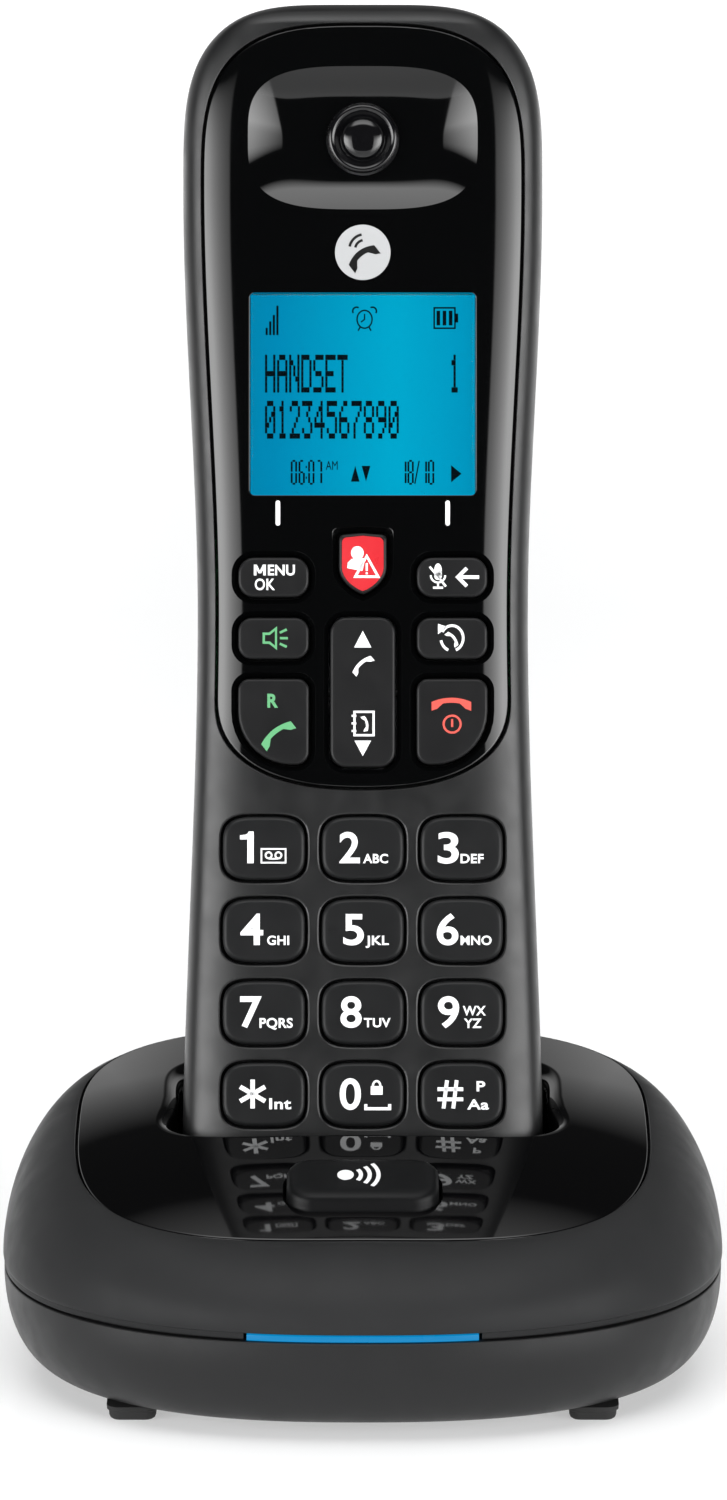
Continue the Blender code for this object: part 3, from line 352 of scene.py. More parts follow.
def board_look():
    """Green solder mask with darker tracks."""
    made = look("solder_mask_green", (0.010, 0.10, 0.035), 0.35)
    tree = made.node_tree
    shader = tree.nodes["Principled BSDF"]
    coords = node(tree, "ShaderNodeTexCoord").outputs["Object"]
    brick = node(tree, "ShaderNodeTexBrick")
    brick.inputs["Scale"].default_value = 160.0
    brick.inputs["Mortar Size"].default_value = 0.03
    brick.inputs["Color1"].default_value = (0.010, 0.095, 0.033, 1)
    brick.inputs["Color2"].default_value = (0.013, 0.12, 0.04, 1)
    brick.inputs["Mortar"].default_value = (0.03, 0.22, 0.08, 1)
    tree.links.new(coords, brick.inputs["Vector"])
    tree.links.new(brick.outputs["Color"], shader.inputs["Base Color"])
    return made


def lens_look():
    """Clear acrylic window, drawn thin."""
    made = look("lens_clear_acrylic", (0.004, 0.006, 0.008), 0.035, rough_spread=0.01)
    made.node_tree.nodes["Principled BSDF"].inputs["Alpha"].default_value = 0.05
    return made


def lcd_look():
    """Backlit blue glass, a little brighter to the right, with a faint dot grid."""
    made = bpy.data.materials.new("lcd_backlit_blue")
    made.use_nodes = True
    tree = made.node_tree
    shader = tree.nodes["Principled BSDF"]
    coords = node(tree, "ShaderNodeTexCoord").outputs["Object"]
    split = node(tree, "ShaderNodeSeparateXYZ")
    tree.links.new(coords, split.inputs["Vector"])
    offset = node(tree, "ShaderNodeMath", operation="SUBTRACT")
    offset.inputs[1].default_value = 0.0045
    tree.links.new(split.outputs["X"], offset.inputs[0])
    distance = node(tree, "ShaderNodeMath", operation="ABSOLUTE")
    tree.links.new(offset.outputs[0], distance.inputs[0])
    across = ranged(tree, distance.outputs[0], 1.0, 0.0, 0.001, 0.017)
    glow = mixed(tree, across, (0.0, 0.250, 0.46), (0.0, 0.400, 0.62))
    brick = node(tree, "ShaderNodeTexBrick", offset=0.0)
    brick.inputs["Scale"].default_value = 1000.0 / 0.33
    brick.inputs["Brick Width"].default_value = 1.0
    brick.inputs["Row Height"].default_value = 1.0
    brick.inputs["Mortar Size"].default_value = 0.06
    brick.inputs["Color1"].default_value = (1, 1, 1, 1)
    brick.inputs["Color2"].default_value = (0.98, 0.98, 0.98, 1)
    brick.inputs["Mortar"].default_value = (0.93, 0.93, 0.93, 1)
    swap = node(tree, "ShaderNodeCombineXYZ")
    tree.links.new(split.outputs["X"], swap.inputs["X"])
    tree.links.new(split.outputs["Z"], swap.inputs["Y"])
    tree.links.new(swap.outputs["Vector"], brick.inputs["Vector"])
    product = node(tree, "ShaderNodeMix", data_type="RGBA", blend_type="MULTIPLY")
    product.inputs[0].default_value = 1.0
    tree.links.new(glow, product.inputs[6])
    tree.links.new(brick.outputs["Color"], product.inputs[7])
    tree.links.new(product.outputs[2], shader.inputs["Emission Color"])
    shader.inputs["Emission Strength"].default_value = 1.0
    shader.inputs["Base Color"].default_value = (0.0, 0.02, 0.04, 1)
    shader.inputs["Roughness"].default_value = 0.4
    shader.inputs["Specular IOR Level"].default_value = 0.0
    return made


BOARD = board_look()
LENS = lens_look()
LCD = lcd_look()


# ------------------------------------------------------------------ base: crown, shells, panel
def crown(x, y):
    """Height of the base's top: it falls to the front and the sides."""
    return 35.8 + 0.148 * y - 0.0024 * y * y - 0.0012 * x * x - 1.2 * (x / 39.3) ** 4


def on_crown(ring, rise=0.0):
    """Plan points laid on the crown, lifted by rise."""
    return with_height(ring, crown(ring[:, 0], ring[:, 1]) + rise)


def crown_surface(points):
    """True normals of the panel's top."""
    x, y, z = points.T
    gx = -0.0024 * x - 4.8 * x**3 / 39.3**4
    gy = 0.148 - 0.0048 * y
    normal = np.column_stack([-gx, -gy, np.ones(len(x))])
    normal /= np.linalg.norm(normal, axis=1)[:, None]
    return normal, z - crown(x, y)


SIDES = 224


def rim_ring(shrink=0.0):
    ring = superellipse(RIM_HALF_X - shrink, RIM_HALF_Y - shrink, RIM_POWER, SIDES)
    ring[:, 1] += RIM_SHIFT
    return ring


def panel_ring(grow, count=SIDES):
    ring = superellipse(PANEL_HALF_X + grow, PANEL_HALF_Y + grow, PANEL_POWER, count)
    ring[:, 1] += RIM_SHIFT
    return ring


def quarter(side, sink, steps):
    """The shoulder of the upper dish, from its widest line to the rim."""
    wide = superellipse(BASE_WIDEST - side, BASE_WIDEST - side, PLAN_POWER, SIDES)
    rim = rim_ring(side * 0.4)
    rings = []
    for k in range(steps + 1):
        angle = math.pi / 2 * k / steps
        out = max(math.cos(angle), 0.0) ** (2 / EDGE_POWER)
        up = math.sin(angle) ** (2 / EDGE_POWER)
        flat = rim + (wide - rim) * out
        top = crown(rim[:, 0], rim[:, 1]) - 0.2 - sink
        rings.append(with_height(flat, WIDEST_Z + (top - WIDEST_Z) * up))
    return rings


def band_inset(ring, depth):
    """The front seam band is set back; it fades out towards the corners."""
    x, y = ring[:, 0], ring[:, 1]
    mask = np.where(y < 0, 1 - smoothstep((np.abs(x) - 36.0) / 6.0), 0.0)
    scale = 1 - depth * mask / BASE_HALF
    return ring * scale[:, None]


def inner_ring():
    return superellipse(BASE_HALF - WALL, BASE_HALF - WALL, PLAN_POWER, SIDES)


def build_top_shell():
    seam = superellipse(BASE_HALF, BASE_HALF, PLAN_POWER, SIDES)
    rings = [with_height(seam * 0.9955, TOP_START)]
    for scale, inset, rise in ((0.998, 0.32, 0.02), (1.0, 0.36, 0.14), (1.0, 0.36, 0.86),
                               (1.0012, 0.08, 0.92), (1.0022, 0.0, 1.02)):
        rings.append(with_height(band_inset(seam * scale, inset), TOP_START + rise))
    rings += quarter(0.0, 0.0, 30)
    edge = panel_ring(GAP)
    rim = rim_ring()
    for share, drop in ((0.35, 0.14), (0.65, 0.10), (0.86, 0.10), (0.96, 0.14), (1.0, 0.28)):
        rings.append(on_crown(rim + (edge - rim) * share, -drop))
    ledge_top = PANEL_THICK + GAP
    ledge = panel_ring(-LEDGE)
    rings += [on_crown(edge, -ledge_top), on_crown(ledge, -ledge_top), on_crown(ledge, -ledge_top - WALL)]
    rings += quarter(WALL, ledge_top + WALL, 12)[::-1]
    rings.append(with_height(inner_ring(), TOP_START))
    shell = loft("shell_upper", rings, ring_shaped=True)
    cut(shell, block("slot", (-16.0, -60.0, 14.0), (16.0, -44.0, 16.02)))
    shade(shell, 30)
    finish_piece(shell, "base", SHELL, ["base_top_shell"])


def round_bar(name, start, end, radius, sides=40, leaned=False):
    start, end = np.array(start, float), np.array(end, float)
    axis = (end - start) / np.linalg.norm(end - start)
    side = np.cross(axis, (0.0, 0.0, 1.0))
    if np.linalg.norm(side) < 1e-6:
        side = np.array((1.0, 0.0, 0.0))
    side /= np.linalg.norm(side)
    other = np.cross(axis, side)
    angle = 2 * np.pi * np.arange(sides) / sides
    circle = np.outer(np.cos(angle), side) + np.outer(np.sin(angle), other)
    return loft(name, [start + circle * radius, end + circle * radius], leaned)


def bottom_ring(side, angle):
    """Ring of the lower dish, and how far up the dish it lies."""
    out = math.sin(angle) ** (2 / BOTTOM_POWER)
    up = 1 - max(math.cos(angle), 0.0) ** (2 / BOTTOM_POWER)
    half = BOTTOM_HALF - side + (BASE_HALF - BOTTOM_HALF) * out
    return superellipse(half, half, PLAN_POWER, SIDES), up


SOCKETS = (("line_jack", -9.0, 13.4), ("power_jack", 9.0, 11.4))


def build_bottom_shell():
    rings = []
    for share in (0.3, 0.62, 0.86, 0.955):
        ring = superellipse(BOTTOM_HALF * share, BOTTOM_HALF * share, PLAN_POWER, SIDES)
        rings.append(with_height(ring, BOTTOM_Z))
    for k in range(25):
        ring, up = bottom_ring(0.0, math.pi / 2 * k / 24)
        rings.append(with_height(ring, BOTTOM_Z + (BOTTOM_TOP - 0.6 - BOTTOM_Z) * up))
    outer = superellipse(BASE_HALF, BASE_HALF, PLAN_POWER, SIDES)
    for scale, drop in ((1.0, 0.14), (0.9985, 0.03), (0.996, 0.0)):
        rings.append(with_height(outer * scale, BOTTOM_TOP - drop))
    rings.append(with_height(inner_ring(), BOTTOM_TOP))
    inside = BOTTOM_Z + WALL
    for k in range(12, -1, -1):
        ring, up = bottom_ring(WALL, math.pi / 2 * k / 12)
        rings.append(with_height(ring, inside + (BOTTOM_TOP - 0.6 - inside) * up))
    shell = loft("shell_lower", rings)
    for side in (-1, 1):
        x, y = side * BASE_SCREW_X, BASE_SCREW_Y
        join(shell, round_bar("boss", (x, y, 3.0), (x, y, 9.7), 4.4))
        cut(shell, round_bar("bore", (x, y, 4.0), (x, y, 12.0), 1.7),
            round_bar("counterbore", (x, y, 0.0), (x, y, 5.6), 3.1))
    for x, y in ((-24.0, -30.0), (24.0, -30.0), (-24.0, 24.0), (24.0, 24.0)):
        join(shell, round_bar("post", (x, y, 3.0), (x, y, 6.7), 2.6))
    for _, x, width in SOCKETS:
        half = width / 2 + 0.5
        cut(shell, block("pocket", (x - half, 32.0, 3.9), (x + half, 56.0, 13.3)))
    for k in range(-4, 5):
        ring = with_height(rounded(1.6, 16.0, (0.8,) * 4) + (k * 4.0, -2.0), 0.0)
        cut(shell, loft("vent", [ring + (0, 0, 1.5), ring + (0, 0, 3.0)]))
    shade(shell, 30)
    finish_piece(shell, "base", LOWER, ["base_bottom_shell"])


WELL_CLEAR = ((-0.3, 0.5), (3.0, 0.8), (7.0, 1.4), (11.0, 2.1), (30.0, 2.1))
CUP_CLEAR = ((-2.2, 0.5), (7.0, 1.4), (11.0, 2.1), (30.0, 2.1))


def clearance(w, levels):
    return np.interp(w, [a for a, _ in levels], [b for _, b in levels])


def well_points(w, grow, levels):
    """Wall of the cup at height w of the leaned axes; w may vary round the ring."""
    w = np.broadcast_to(w, SIDES).astype(float)
    extra = clearance(w, levels) + grow
    unit = superellipse(1.0, 1.0, 5.0, SIDES)
    middle = THICK_MID / 2
    t = middle + (middle + extra) * unit[:, 1]
    # The mouth flares beside the keypad's lower corners and closes in towards the back.
    flare = 1 - 0.72 * smoothstep((t - 3.0) / 9.0)
    u = (25.2 + grow + (extra - grow) * flare) * unit[:, 0]
    return lean(np.column_stack([u, t, w]))


def well_mouth(grow, levels, sink):
    """Height w at which the cup wall meets the crown, for each direction."""
    low, high = np.full(SIDES, -2.0), np.full(SIDES, 28.0)
    for _ in range(40):
        middle = (low + high) / 2
        p = well_points(middle, grow, levels)
        below = p[:, 2] < crown(p[:, 0], p[:, 1]) - sink
        low = np.where(below, middle, low)
        high = np.where(below, high, middle)
    return low


def panel_edge(corner):
    """The panel's rim, a point for each one of the well's mouth, so that no two spokes cross."""
    centre = corner[:, :2].mean(0)

    def turn(points):
        return np.arctan2(points[:, 1] - centre[1], points[:, 0] - centre[0])

    def wrapped(angle):
        return (angle + np.pi) % (2 * np.pi) - np.pi

    spoke = turn(corner)
    blend = wrapped(spoke + wrapped(turn(panel_ring(0.0)) - spoke) * 0.55)
    fine = panel_ring(0.0, 4096)
    order = np.argsort(turn(fine))
    return np.column_stack([
        np.interp(blend, turn(fine)[order], fine[order, axis], period=2 * np.pi)
        for axis in (0, 1)
    ])


def well_rings(corner, edge_w, out):
    """From the well's floor up its wall and over the rolled lip."""
    rings = [well_points(w, 0.0, WELL_CLEAR) for w in (-0.3, 0.4, 1.5, 3.0, 5.0)]
    for share in (0.4, 0.75, 1.0):
        rings.append(well_points(5.0 + (edge_w - LIP_DOWN - 5.0) * share, 0.0, WELL_CLEAR))
    low = rings[-1]
    for k in range(1, 9):
        s = k / 9
        rings.append((1 - s) ** 2 * low + 2 * s * (1 - s) * corner + s * s * out)
    return rings + [out]


def cup_rings(edge):
    """From the panel's edge along its underside and down the outside of the cup."""
    start_w = CUP_CLEAR[0][0]
    mouth_w = well_mouth(CUP_WALL, CUP_CLEAR, PANEL_THICK)
    mouth = well_points(mouth_w, CUP_WALL, CUP_CLEAR)[:, :2]
    rings = [on_crown(mouth + (edge - mouth) * share, -PANEL_THICK) for share in (0.6, 0.2, 0.0)]
    for share in (0.66, 0.33, 0.0):
        rings.append(well_points(start_w + (mouth_w - start_w) * share, CUP_WALL, CUP_CLEAR))
    return rings


LIP_OUT, LIP_DOWN, CUP_WALL = 2.9, 2.3, 1.7
EDGE_INSET = 0.35
LOCATE_HOLE = ((0.0, -12.0), (0.0, -0.35), (0.06, -0.16), (0.2, -0.03), (0.42, 0.06), (0.42, 4.0))


def build_panel():
    edge_w = well_mouth(0.0, WELL_CLEAR, 0.0)
    corner = well_points(edge_w, 0.0, WELL_CLEAR)
    edge = panel_edge(corner)
    away = edge - corner[:, :2]
    away /= np.linalg.norm(away, axis=1)[:, None]
    lip = corner[:, :2] + away * LIP_OUT
    rings = well_rings(corner, edge_w, on_crown(lip))
    for share in (0.06, 0.14, 0.25, 0.38, 0.52, 0.66, 0.8, 0.92, 0.98):
        rings.append(on_crown(lip + (edge - away * EDGE_INSET - lip) * share))
    for inward, drop in ((EDGE_INSET, 0.0), (0.2, 0.03), (0.08, 0.11), (0.0, 0.3)):
        rings.append(on_crown(edge - away * inward, -drop))
    rings.append(on_crown(edge, -PANEL_THICK))
    panel = loft("panel_gloss", rings + cup_rings(edge))
    hole = [on_crown(locate_ring(GAP + grow), rise) for grow, rise in LOCATE_HOLE]
    cut(panel, loft("locate_hole", hole))
    for side in (-1, 1):
        x = side * CONTACT_X
        cut(panel, block("slot", (x - 1.6, 14.5, -4.0), (x + 1.6, 23.5, 1.0), leaned=True))
    shade(panel, 32, crown_surface)
    finish_piece(panel, "base", PANEL, ["cradle_panel"])


def build_strip():
    """Light pipe in the front seam, its face a little domed."""
    ring = superellipse(BASE_HALF - 0.2, BASE_HALF - 0.2, PLAN_POWER, 1600)
    front = ring[(ring[:, 1] < 0) & (np.abs(ring[:, 0]) < 15.7)]
    profile = ((0.16, 15.04), (-0.04, 15.16), (-0.08, 15.5), (-0.04, 15.86),
               (0.16, 15.97), (2.8, 15.97), (2.8, 15.04))
    strip = loft("light_pipe", [[(x, y + depth, z) for depth, z in profile] for x, y in front])
    shade(strip, 40)
    finish_piece(strip, "base", STRIP, ["light_strip"])


def locate_ring(grow, squeeze=(1.0, 1.0)):
    return rounded(*LOCATE_SIZE, (3.6,) * 4, grow, 14) * squeeze + (0.0, LOCATE_Y)


LOCATE_CAP = ((0.9, -3.4), (0.9, -2.3), (0.0, -2.3), (0.0, 0.9), (-0.06, 1.3), (-0.2, 1.62), (-0.45, 1.86),
              (-0.8, 2.0), (-1.2, 2.06), (-1.8, 2.08), (-2.6, 2.06), (-3.4, 2.03), (-4.2, 2.0))


def build_locate():
    """Cap on a narrow stem, with a flange under the panel."""
    stem = locate_ring(0.0, (0.25, 0.4))
    rings = [with_height(stem, 11.9), with_height(stem, 24.0)]
    rings += [on_crown(locate_ring(grow), rise) for grow, rise in LOCATE_CAP]
    button = loft("locate_cap", rings)
    shade(button, 35)
    finish_piece(button, "locate_button", BUTTON, ["locate_button"])


FOOT_PROFILE = ((-0.9, 0.0), (-0.45, 0.05), (-0.15, 0.25), (0.0, 0.6), (0.05, 1.2), (0.3, 1.4), (0.35, 2.0))


def build_feet():
    for end, y in (("front", -FOOT_X), ("rear", FOOT_X)):
        for side, x in (("left", -FOOT_X), ("right", FOOT_X)):
            name = f"foot_{end}_{side}"
            rings = [
                with_height(rounded(6.4, 6.4, (1.6,) * 4, grow) + (x, y), z)
                for grow, z in FOOT_PROFILE
            ]
            pad = loft("pad_" + name, rings)
            shade(pad, 35)
            finish_piece(pad, "base", RUBBER, [name])


# ------------------------------------------------------------------ handset body
def half_width(w):
    reach = np.where(w > 82.0, 60.0, 82.0)
    return 23.1 + 2.1 * smoothstep(np.abs(w - 82.0) / reach)


def thickness(w):
    return THICK_MID - (THICK_MID - THICK_TOP) * smoothstep((w - 90.0) / 60.0)


def section_sizes(w, side=0.0, front=0.0, back=0.0, end=0.0):
    """Half width, and depth ahead of and behind the parting line, each less the wall asked for."""
    w = np.asarray(w, float)
    from_top = LENGTH - end - w
    top_w = arc_fraction(from_top, 24.5 - end * 0.5, 3.3)
    top_f = arc_fraction(from_top, 4.0, 2.2)
    top_b = arc_fraction(from_top, 9.0, 2.2)
    x = (FOOT_RADIUS - np.clip(w - end, 0.0, FOOT_RADIUS)) / FOOT_RADIUS
    inset = FOOT_RADIUS * (1 - np.sqrt(1 - x * x))
    half = (half_width(w) - side) * top_w - inset
    ahead = (PARTING - front) * top_f - inset
    behind = (thickness(w) - back - PARTING) * top_b - inset
    return np.maximum(half, 0.4), np.maximum(ahead, 0.4), np.maximum(behind, 0.4)


def stations(end, fine):
    """Heights of the sections, closer together over the rounded foot and crown."""
    foot = 1 - np.cos(np.linspace(0, math.pi / 2, 9))
    top = np.sin(np.linspace(0, math.pi / 2, 34 if fine else 14))
    middle = np.linspace(FOOT_RADIUS, SHOULDER_W, 70 if fine else 26)
    w = np.concatenate([FOOT_RADIUS * foot[:-1], middle[:-1], SHOULDER_W + CROWN_RISE * top])
    return end + w * (LENGTH - 2 * end) / LENGTH


def handset_form(name, count, side=0.0, front=0.0, back=0.0, end=0.0):
    """The handset's outer form, or a coarser one inside it by the walls given."""
    rings = []
    for w in stations(end, fine=end == 0.0):
        half, ahead, behind = section_sizes(w, side, front, back, end)
        ring = superellipse(half, behind, BACK_POWER, count, ahead, FRONT_POWER)
        rings.append(np.column_stack([ring[:, 0], PARTING + ring[:, 1], np.full(count, w)]))
    return loft(name, rings, leaned=True)


def body_surface(points):
    """True normals of the handset's outer skin, and the distance to it."""

    def value(p):
        half, ahead, behind = section_sizes(np.clip(p[:, 2], 0.0, LENGTH - 1.41))
        y = p[:, 1] - PARTING
        front = y < 0
        power = np.where(front, FRONT_POWER, BACK_POWER)
        depth = np.where(front, ahead, behind)
        return ((np.abs(p[:, 0]) / half) ** power + (np.abs(y) / depth) ** power) ** (1 / power) - 1

    local = unlean(points)
    step = 0.01
    slope = np.column_stack([
        (value(local + d) - value(local - d)) / (2 * step)
        for d in np.eye(3) * step
    ])
    size = np.maximum(np.linalg.norm(slope, axis=1), 1e-9)
    normal = slope / size[:, None]
    distance = value(local) / size
    distance = np.where(local[:, 2] > 2.7, distance, 9.0)
    return lean_vectors(normal), distance


def face_t(u, w):
    """Depth of the front skin at (u, w)."""
    half, ahead, _ = section_sizes(w)
    x = np.clip(np.abs(u) / half, 0.0, 0.9995)
    return PARTING - ahead * (1 - x**FRONT_POWER) ** (1 / FRONT_POWER)


def back_t(u, w):
    """Depth of the back skin at (u, w)."""
    half, _, behind = section_sizes(w)
    x = np.clip(np.abs(u) / half, 0.0, 0.9995)
    return PARTING + behind * (1 - x**BACK_POWER) ** (1 / BACK_POWER)


def skin_tool(name, outline, layers, centre=(0.0, 0.0), depth=face_t):
    """Cutter whose rings follow the skin; layers are (grow, depth below the skin) or (grow, None, t)."""
    rings = []
    for layer in layers:
        ring = np.asarray(outline(layer[0])) + centre
        t = layer[2] if layer[1] is None else depth(ring[:, 0], ring[:, 1]) + layer[1]
        rings.append(at_depth(ring, t))
    return loft(name, rings, leaned=True)


def fascia_outline(grow):
    """Long panel outline that follows the waist, rounded at its top and more tightly at its foot."""
    count = 90
    share = 0.5 - 0.5 * np.cos(np.pi * np.arange(count + 1) / count)
    w = FASCIA_TOP + grow - (FASCIA_TOP - FASCIA_BOTTOM + 2 * grow) * share
    top = arc_fraction(FASCIA_TOP + grow - w, 22.0, 3.1)
    bottom = arc_fraction(w - FASCIA_BOTTOM + grow, 13.0, 2.4)
    u = np.maximum((half_width(w) - 2.95 + grow) * top * bottom, 0.0)
    u[0] = u[1] * 0.5
    u[-1] = u[-2] * 0.5
    right = np.column_stack([u, w])
    left = np.column_stack([-u, w])[::-1]
    return np.concatenate([right, left])


def number_outline(grow):
    return superellipse(NUMBER_SIZE[0] / 2 + grow, NUMBER_SIZE[1] / 2 + grow, 3.6, 64)


def box_outline(width, height, radii):
    return lambda grow: rounded(width, height, radii, grow)


def shield_outline(grow):
    """Flat-topped shield with soft shoulders and bulging sides that meet at the foot."""
    half, top = 3.3 + grow, 4.15 + grow
    shoulder = np.linspace(0, math.pi / 2, 9)
    u = (half - 0.7) + 0.7 * np.sin(shoulder)
    w = (top - 0.7) + 0.7 * np.cos(shoulder)
    share = np.linspace(0, 1, 26)[1:]
    low = -0.3 - (top - 0.3) * share
    side = half * (1 - share**2.1) ** 0.82 + 0.02
    right = np.column_stack([np.concatenate([u, side]), np.concatenate([w, low])])
    left = right[::-1] * (-1, 1)
    crest = np.array([(0.0, top + 0.22)])
    return np.concatenate([crest, right, left])


def rocker_outline(grow):
    return rounded(*ROCKER_SIZE, (2.2,) * 4, grow)


FUNCTION_KEYS = (
    ("key_call_block", 0.0, CALL_BLOCK_W, shield_outline),
    ("key_menu_ok", -SIDE_KEY_X, MENU_W, box_outline(9.8, 5.5, (2.2,) * 4)),
    ("key_mute_back", SIDE_KEY_X, MENU_W, box_outline(9.8, 5.5, (2.2,) * 4)),
    ("key_speaker", -SIDE_KEY_X, SPEAKER_W, box_outline(9.8, 5.7, (1.9,) * 4)),
    ("key_redial", SIDE_KEY_X, SPEAKER_W, box_outline(9.8, 5.7, (1.9,) * 4)),
    ("key_talk", -SIDE_KEY_X, TALK_W, box_outline(9.85, 11.9, (1.6, 1.6, 7.4, 1.8))),
    ("key_end", SIDE_KEY_X, TALK_W, box_outline(9.85, 11.9, (1.6, 1.6, 1.8, 7.4))),
)
NUMBER_KEYS = [
    (name, column * NUMBER_PITCH, w)
    for row, w in zip(NUMBER_NAMES, NUMBER_ROWS)
    for name, column in zip(row, (-1, 0, 1))
]
# Rounded lips of the openings, as layers of skin_tool.
NUMBER_LIP = ((0.95, None, -3.0), (0.95, -0.02), (0.62, 0.03), (0.42, 0.14), (0.32, 0.36),
              (GAP, 0.7), (GAP, None, 5.2))
DISH = ((1.3, None, -3.0), (0.96, -0.01), (0.9, 0.04), (0.78, 0.2), (0.6, 0.42), (0.42, 0.58),
        (GAP, 0.8), (GAP, None, 5.2))
KEY_HOLE = ((GAP, None, -1.0), (GAP, None, 5.2))
FASCIA_POCKET = ((0.62, None, -6.0), (0.55, -0.03), (0.42, 0.03), (0.33, 0.14), (GAP, 0.3), (GAP, 2.9))
FASCIA_EDGE = ((0.0, None, 6.0), (0.0, 0.34), (-0.03, 0.2), (-0.1, 0.09), (-0.22, 0.02), (-0.3, -0.02),
               (-0.4, None, -6.0))
DOOR_WAY = ((0.5, None, 30.0), (0.5, 1.0), (0.45, 0.02), (0.34, -0.05), (GAP, -0.2), (GAP, None, 13.0))
DOOR_EDGE = ((0.0, None, 13.6), (0.0, -0.2), (-0.05, -0.05), (-0.16, 0.02), (-0.2, 1.0), (-0.2, None, 30.0))
GRIP = ((0.3, 1.0), (0.2, 0.02), (0.0, -0.2), (-0.15, -0.5))
SLOT = ((0.25, 1.0), (0.2, 0.02), (0.06, -0.1), (0.0, -0.25), (0.0, None, 17.0))
SCREW_BORE = ((1.6, None, 10.0), (1.6, None, 15.2), (3.0, None, 15.2), (3.0, None, 30.0))


def upright_bar(name, u, w, start, end, radius, sides=40):
    """Round bar square to the handset's face, from depth start to depth end."""
    return round_bar(name, (u, start, w), (u, end, w), radius, sides, leaned=True)


def build_front_case():
    case = handset_form("case_front", 176)
    keep(case, block("front_half", (-40, -5, -5), (40, PARTING - 0.15, 175), leaned=True))
    cut(case, handset_form("hollow", 72, WALL, FRONT_WALL, WALL, END_WALL),
        block("flange_room", (-20.7, 3.2, 9.0), (20.7, 6.4, 95.5), leaned=True))
    cut(case, skin_tool("pocket", fascia_outline, FASCIA_POCKET))
    for u in (-SCREW_U, SCREW_U):
        join(case, upright_bar("post", u, SCREW_W, 2.9, 11.8, 2.9))
        cut(case, upright_bar("pilot", u, SCREW_W, 4.4, 14.0, 1.6))
    for _, u, w in NUMBER_KEYS:
        cut(case, skin_tool("hole", number_outline, NUMBER_LIP, (u, w)))
    for _, u, w, outline in FUNCTION_KEYS:
        cut(case, skin_tool("hole", outline, KEY_HOLE, (u, w)))
    cut(case, skin_tool("hole", rocker_outline, KEY_HOLE, (0, ROCKER_W)))
    window = box_outline(32.6, 29.4, (1.0,) * 4)
    cut(case, skin_tool("window", window, ((0, None, 0.5), (0, None, 5.0)), (0, LENS_W)))
    cut(case, upright_bar("ear", 0, EAR_W, -2, 5, 5.4),
        block("pins", (-6.6, 1.55, ROCKER_W - 0.85), (6.6, 5.0, ROCKER_W + 0.85), leaned=True),
        upright_bar("mic", 0, 7.7, -2, 5, 0.55, 24))
    shade(case, 32, body_surface)
    finish_piece(case, "handset", CASE, ["handset_front_case"])


def door_outline(grow):
    low, high = DOOR_W
    return rounded(DOOR_HALF * 2, high - low, (1.0, 1.0, 4.0, 4.0), grow) + (0.0, (low + high) / 2)


def bore_outline(radius):
    return superellipse(radius, radius, 2.0, 40)


def build_back_case():
    case = handset_form("case_back", 176)
    keep(case, block("back_half", (-40, PARTING + 0.15, -5), (40, 40, 175), leaned=True))
    cut(case, handset_form("hollow", 72, WALL, FRONT_WALL, WALL, END_WALL))
    for u in (-SCREW_U, SCREW_U):
        join(case, upright_bar("post", u, SCREW_W, 12.2, 18.5, 3.6))
    cut(case, skin_tool("door_way", door_outline, DOOR_WAY, depth=back_t))
    join(case, battery_tray())
    for k in range(-3, 4):
        outline = box_outline(14.0 - abs(k) * 2.2, 1.0, (0.5,) * 4)
        cut(case, skin_tool("slot", outline, SLOT, (0.0, RINGER_W + k * 2.4), back_t))
    for side in (-1, 1):
        cut(case, skin_tool("bore", bore_outline, SCREW_BORE, (side * SCREW_U, SCREW_W)))
        x = side * CONTACT_X
        cut(case, block("contact", (x - 2.3, 15.7, -1.0), (x + 2.3, 22.3, 4.0), leaned=True))
    shade(case, 32, body_surface)
    finish_piece(case, "handset", CASE, ["handset_back_case"])


def battery_tray():
    """Floor under the cells, with a wall at each end."""
    floor, rim = PARTING + GAP, PARTING + GAP + 6.6
    low, high = CELLS_W[0] - 1.7, CELLS_W[1] + 1.7
    outline = ((floor, low - 1.2), (floor, high + 1.2), (rim, high + 1.2), (rim, high),
               (floor + 1.0, high), (floor + 1.0, low), (rim, low), (rim, low - 1.2))
    return loft("tray", [[(u, t, w) for t, w in outline] for u in (-22.0, 22.0)], leaned=True)


def build_door():
    door = handset_form("door_cover", 176)
    keep(door, skin_tool("outline", door_outline, DOOR_EDGE, depth=back_t))
    cut(door, handset_form("under", 72, -6.0, -8.0, 1.5, 1.0))
    for k in range(4):
        cut(door, skin_tool("grip", box_outline(14.0, 1.0, (0.45,) * 4), GRIP, (0.0, 90.0 - 2.0 * k), back_t))
    shade(door, 32, body_surface)
    finish_piece(door, "battery_door", CASE, ["battery_door"])


BOWL_HALF = (16.1, 10.1)
BOWL_DEPTH = 1.77
BOWL_REACH = 7.6


def bowl_tool():
    """Shallow dish round the earpiece, its wall easing out towards the middle."""
    rings = []
    for s in (-0.5, 0.0, 0.12, 0.35, 0.8, 1.4, 2.1, 2.9, 3.7, 4.5, 5.3, 6.1, 6.9, BOWL_REACH):
        ring = superellipse(BOWL_HALF[0] - s, BOWL_HALF[1] - s, 3.3 - 0.13 * max(s, 0), 144)
        drop = -3.0 if s < 0 else -0.01 + BOWL_DEPTH * (1 - (1 - s / BOWL_REACH) ** 2.0)
        rings.append(at_depth(ring, face_t(ring[:, 0], ring[:, 1] + EAR_W) + drop, EAR_W))
    return loft("bowl", rings, leaned=True)


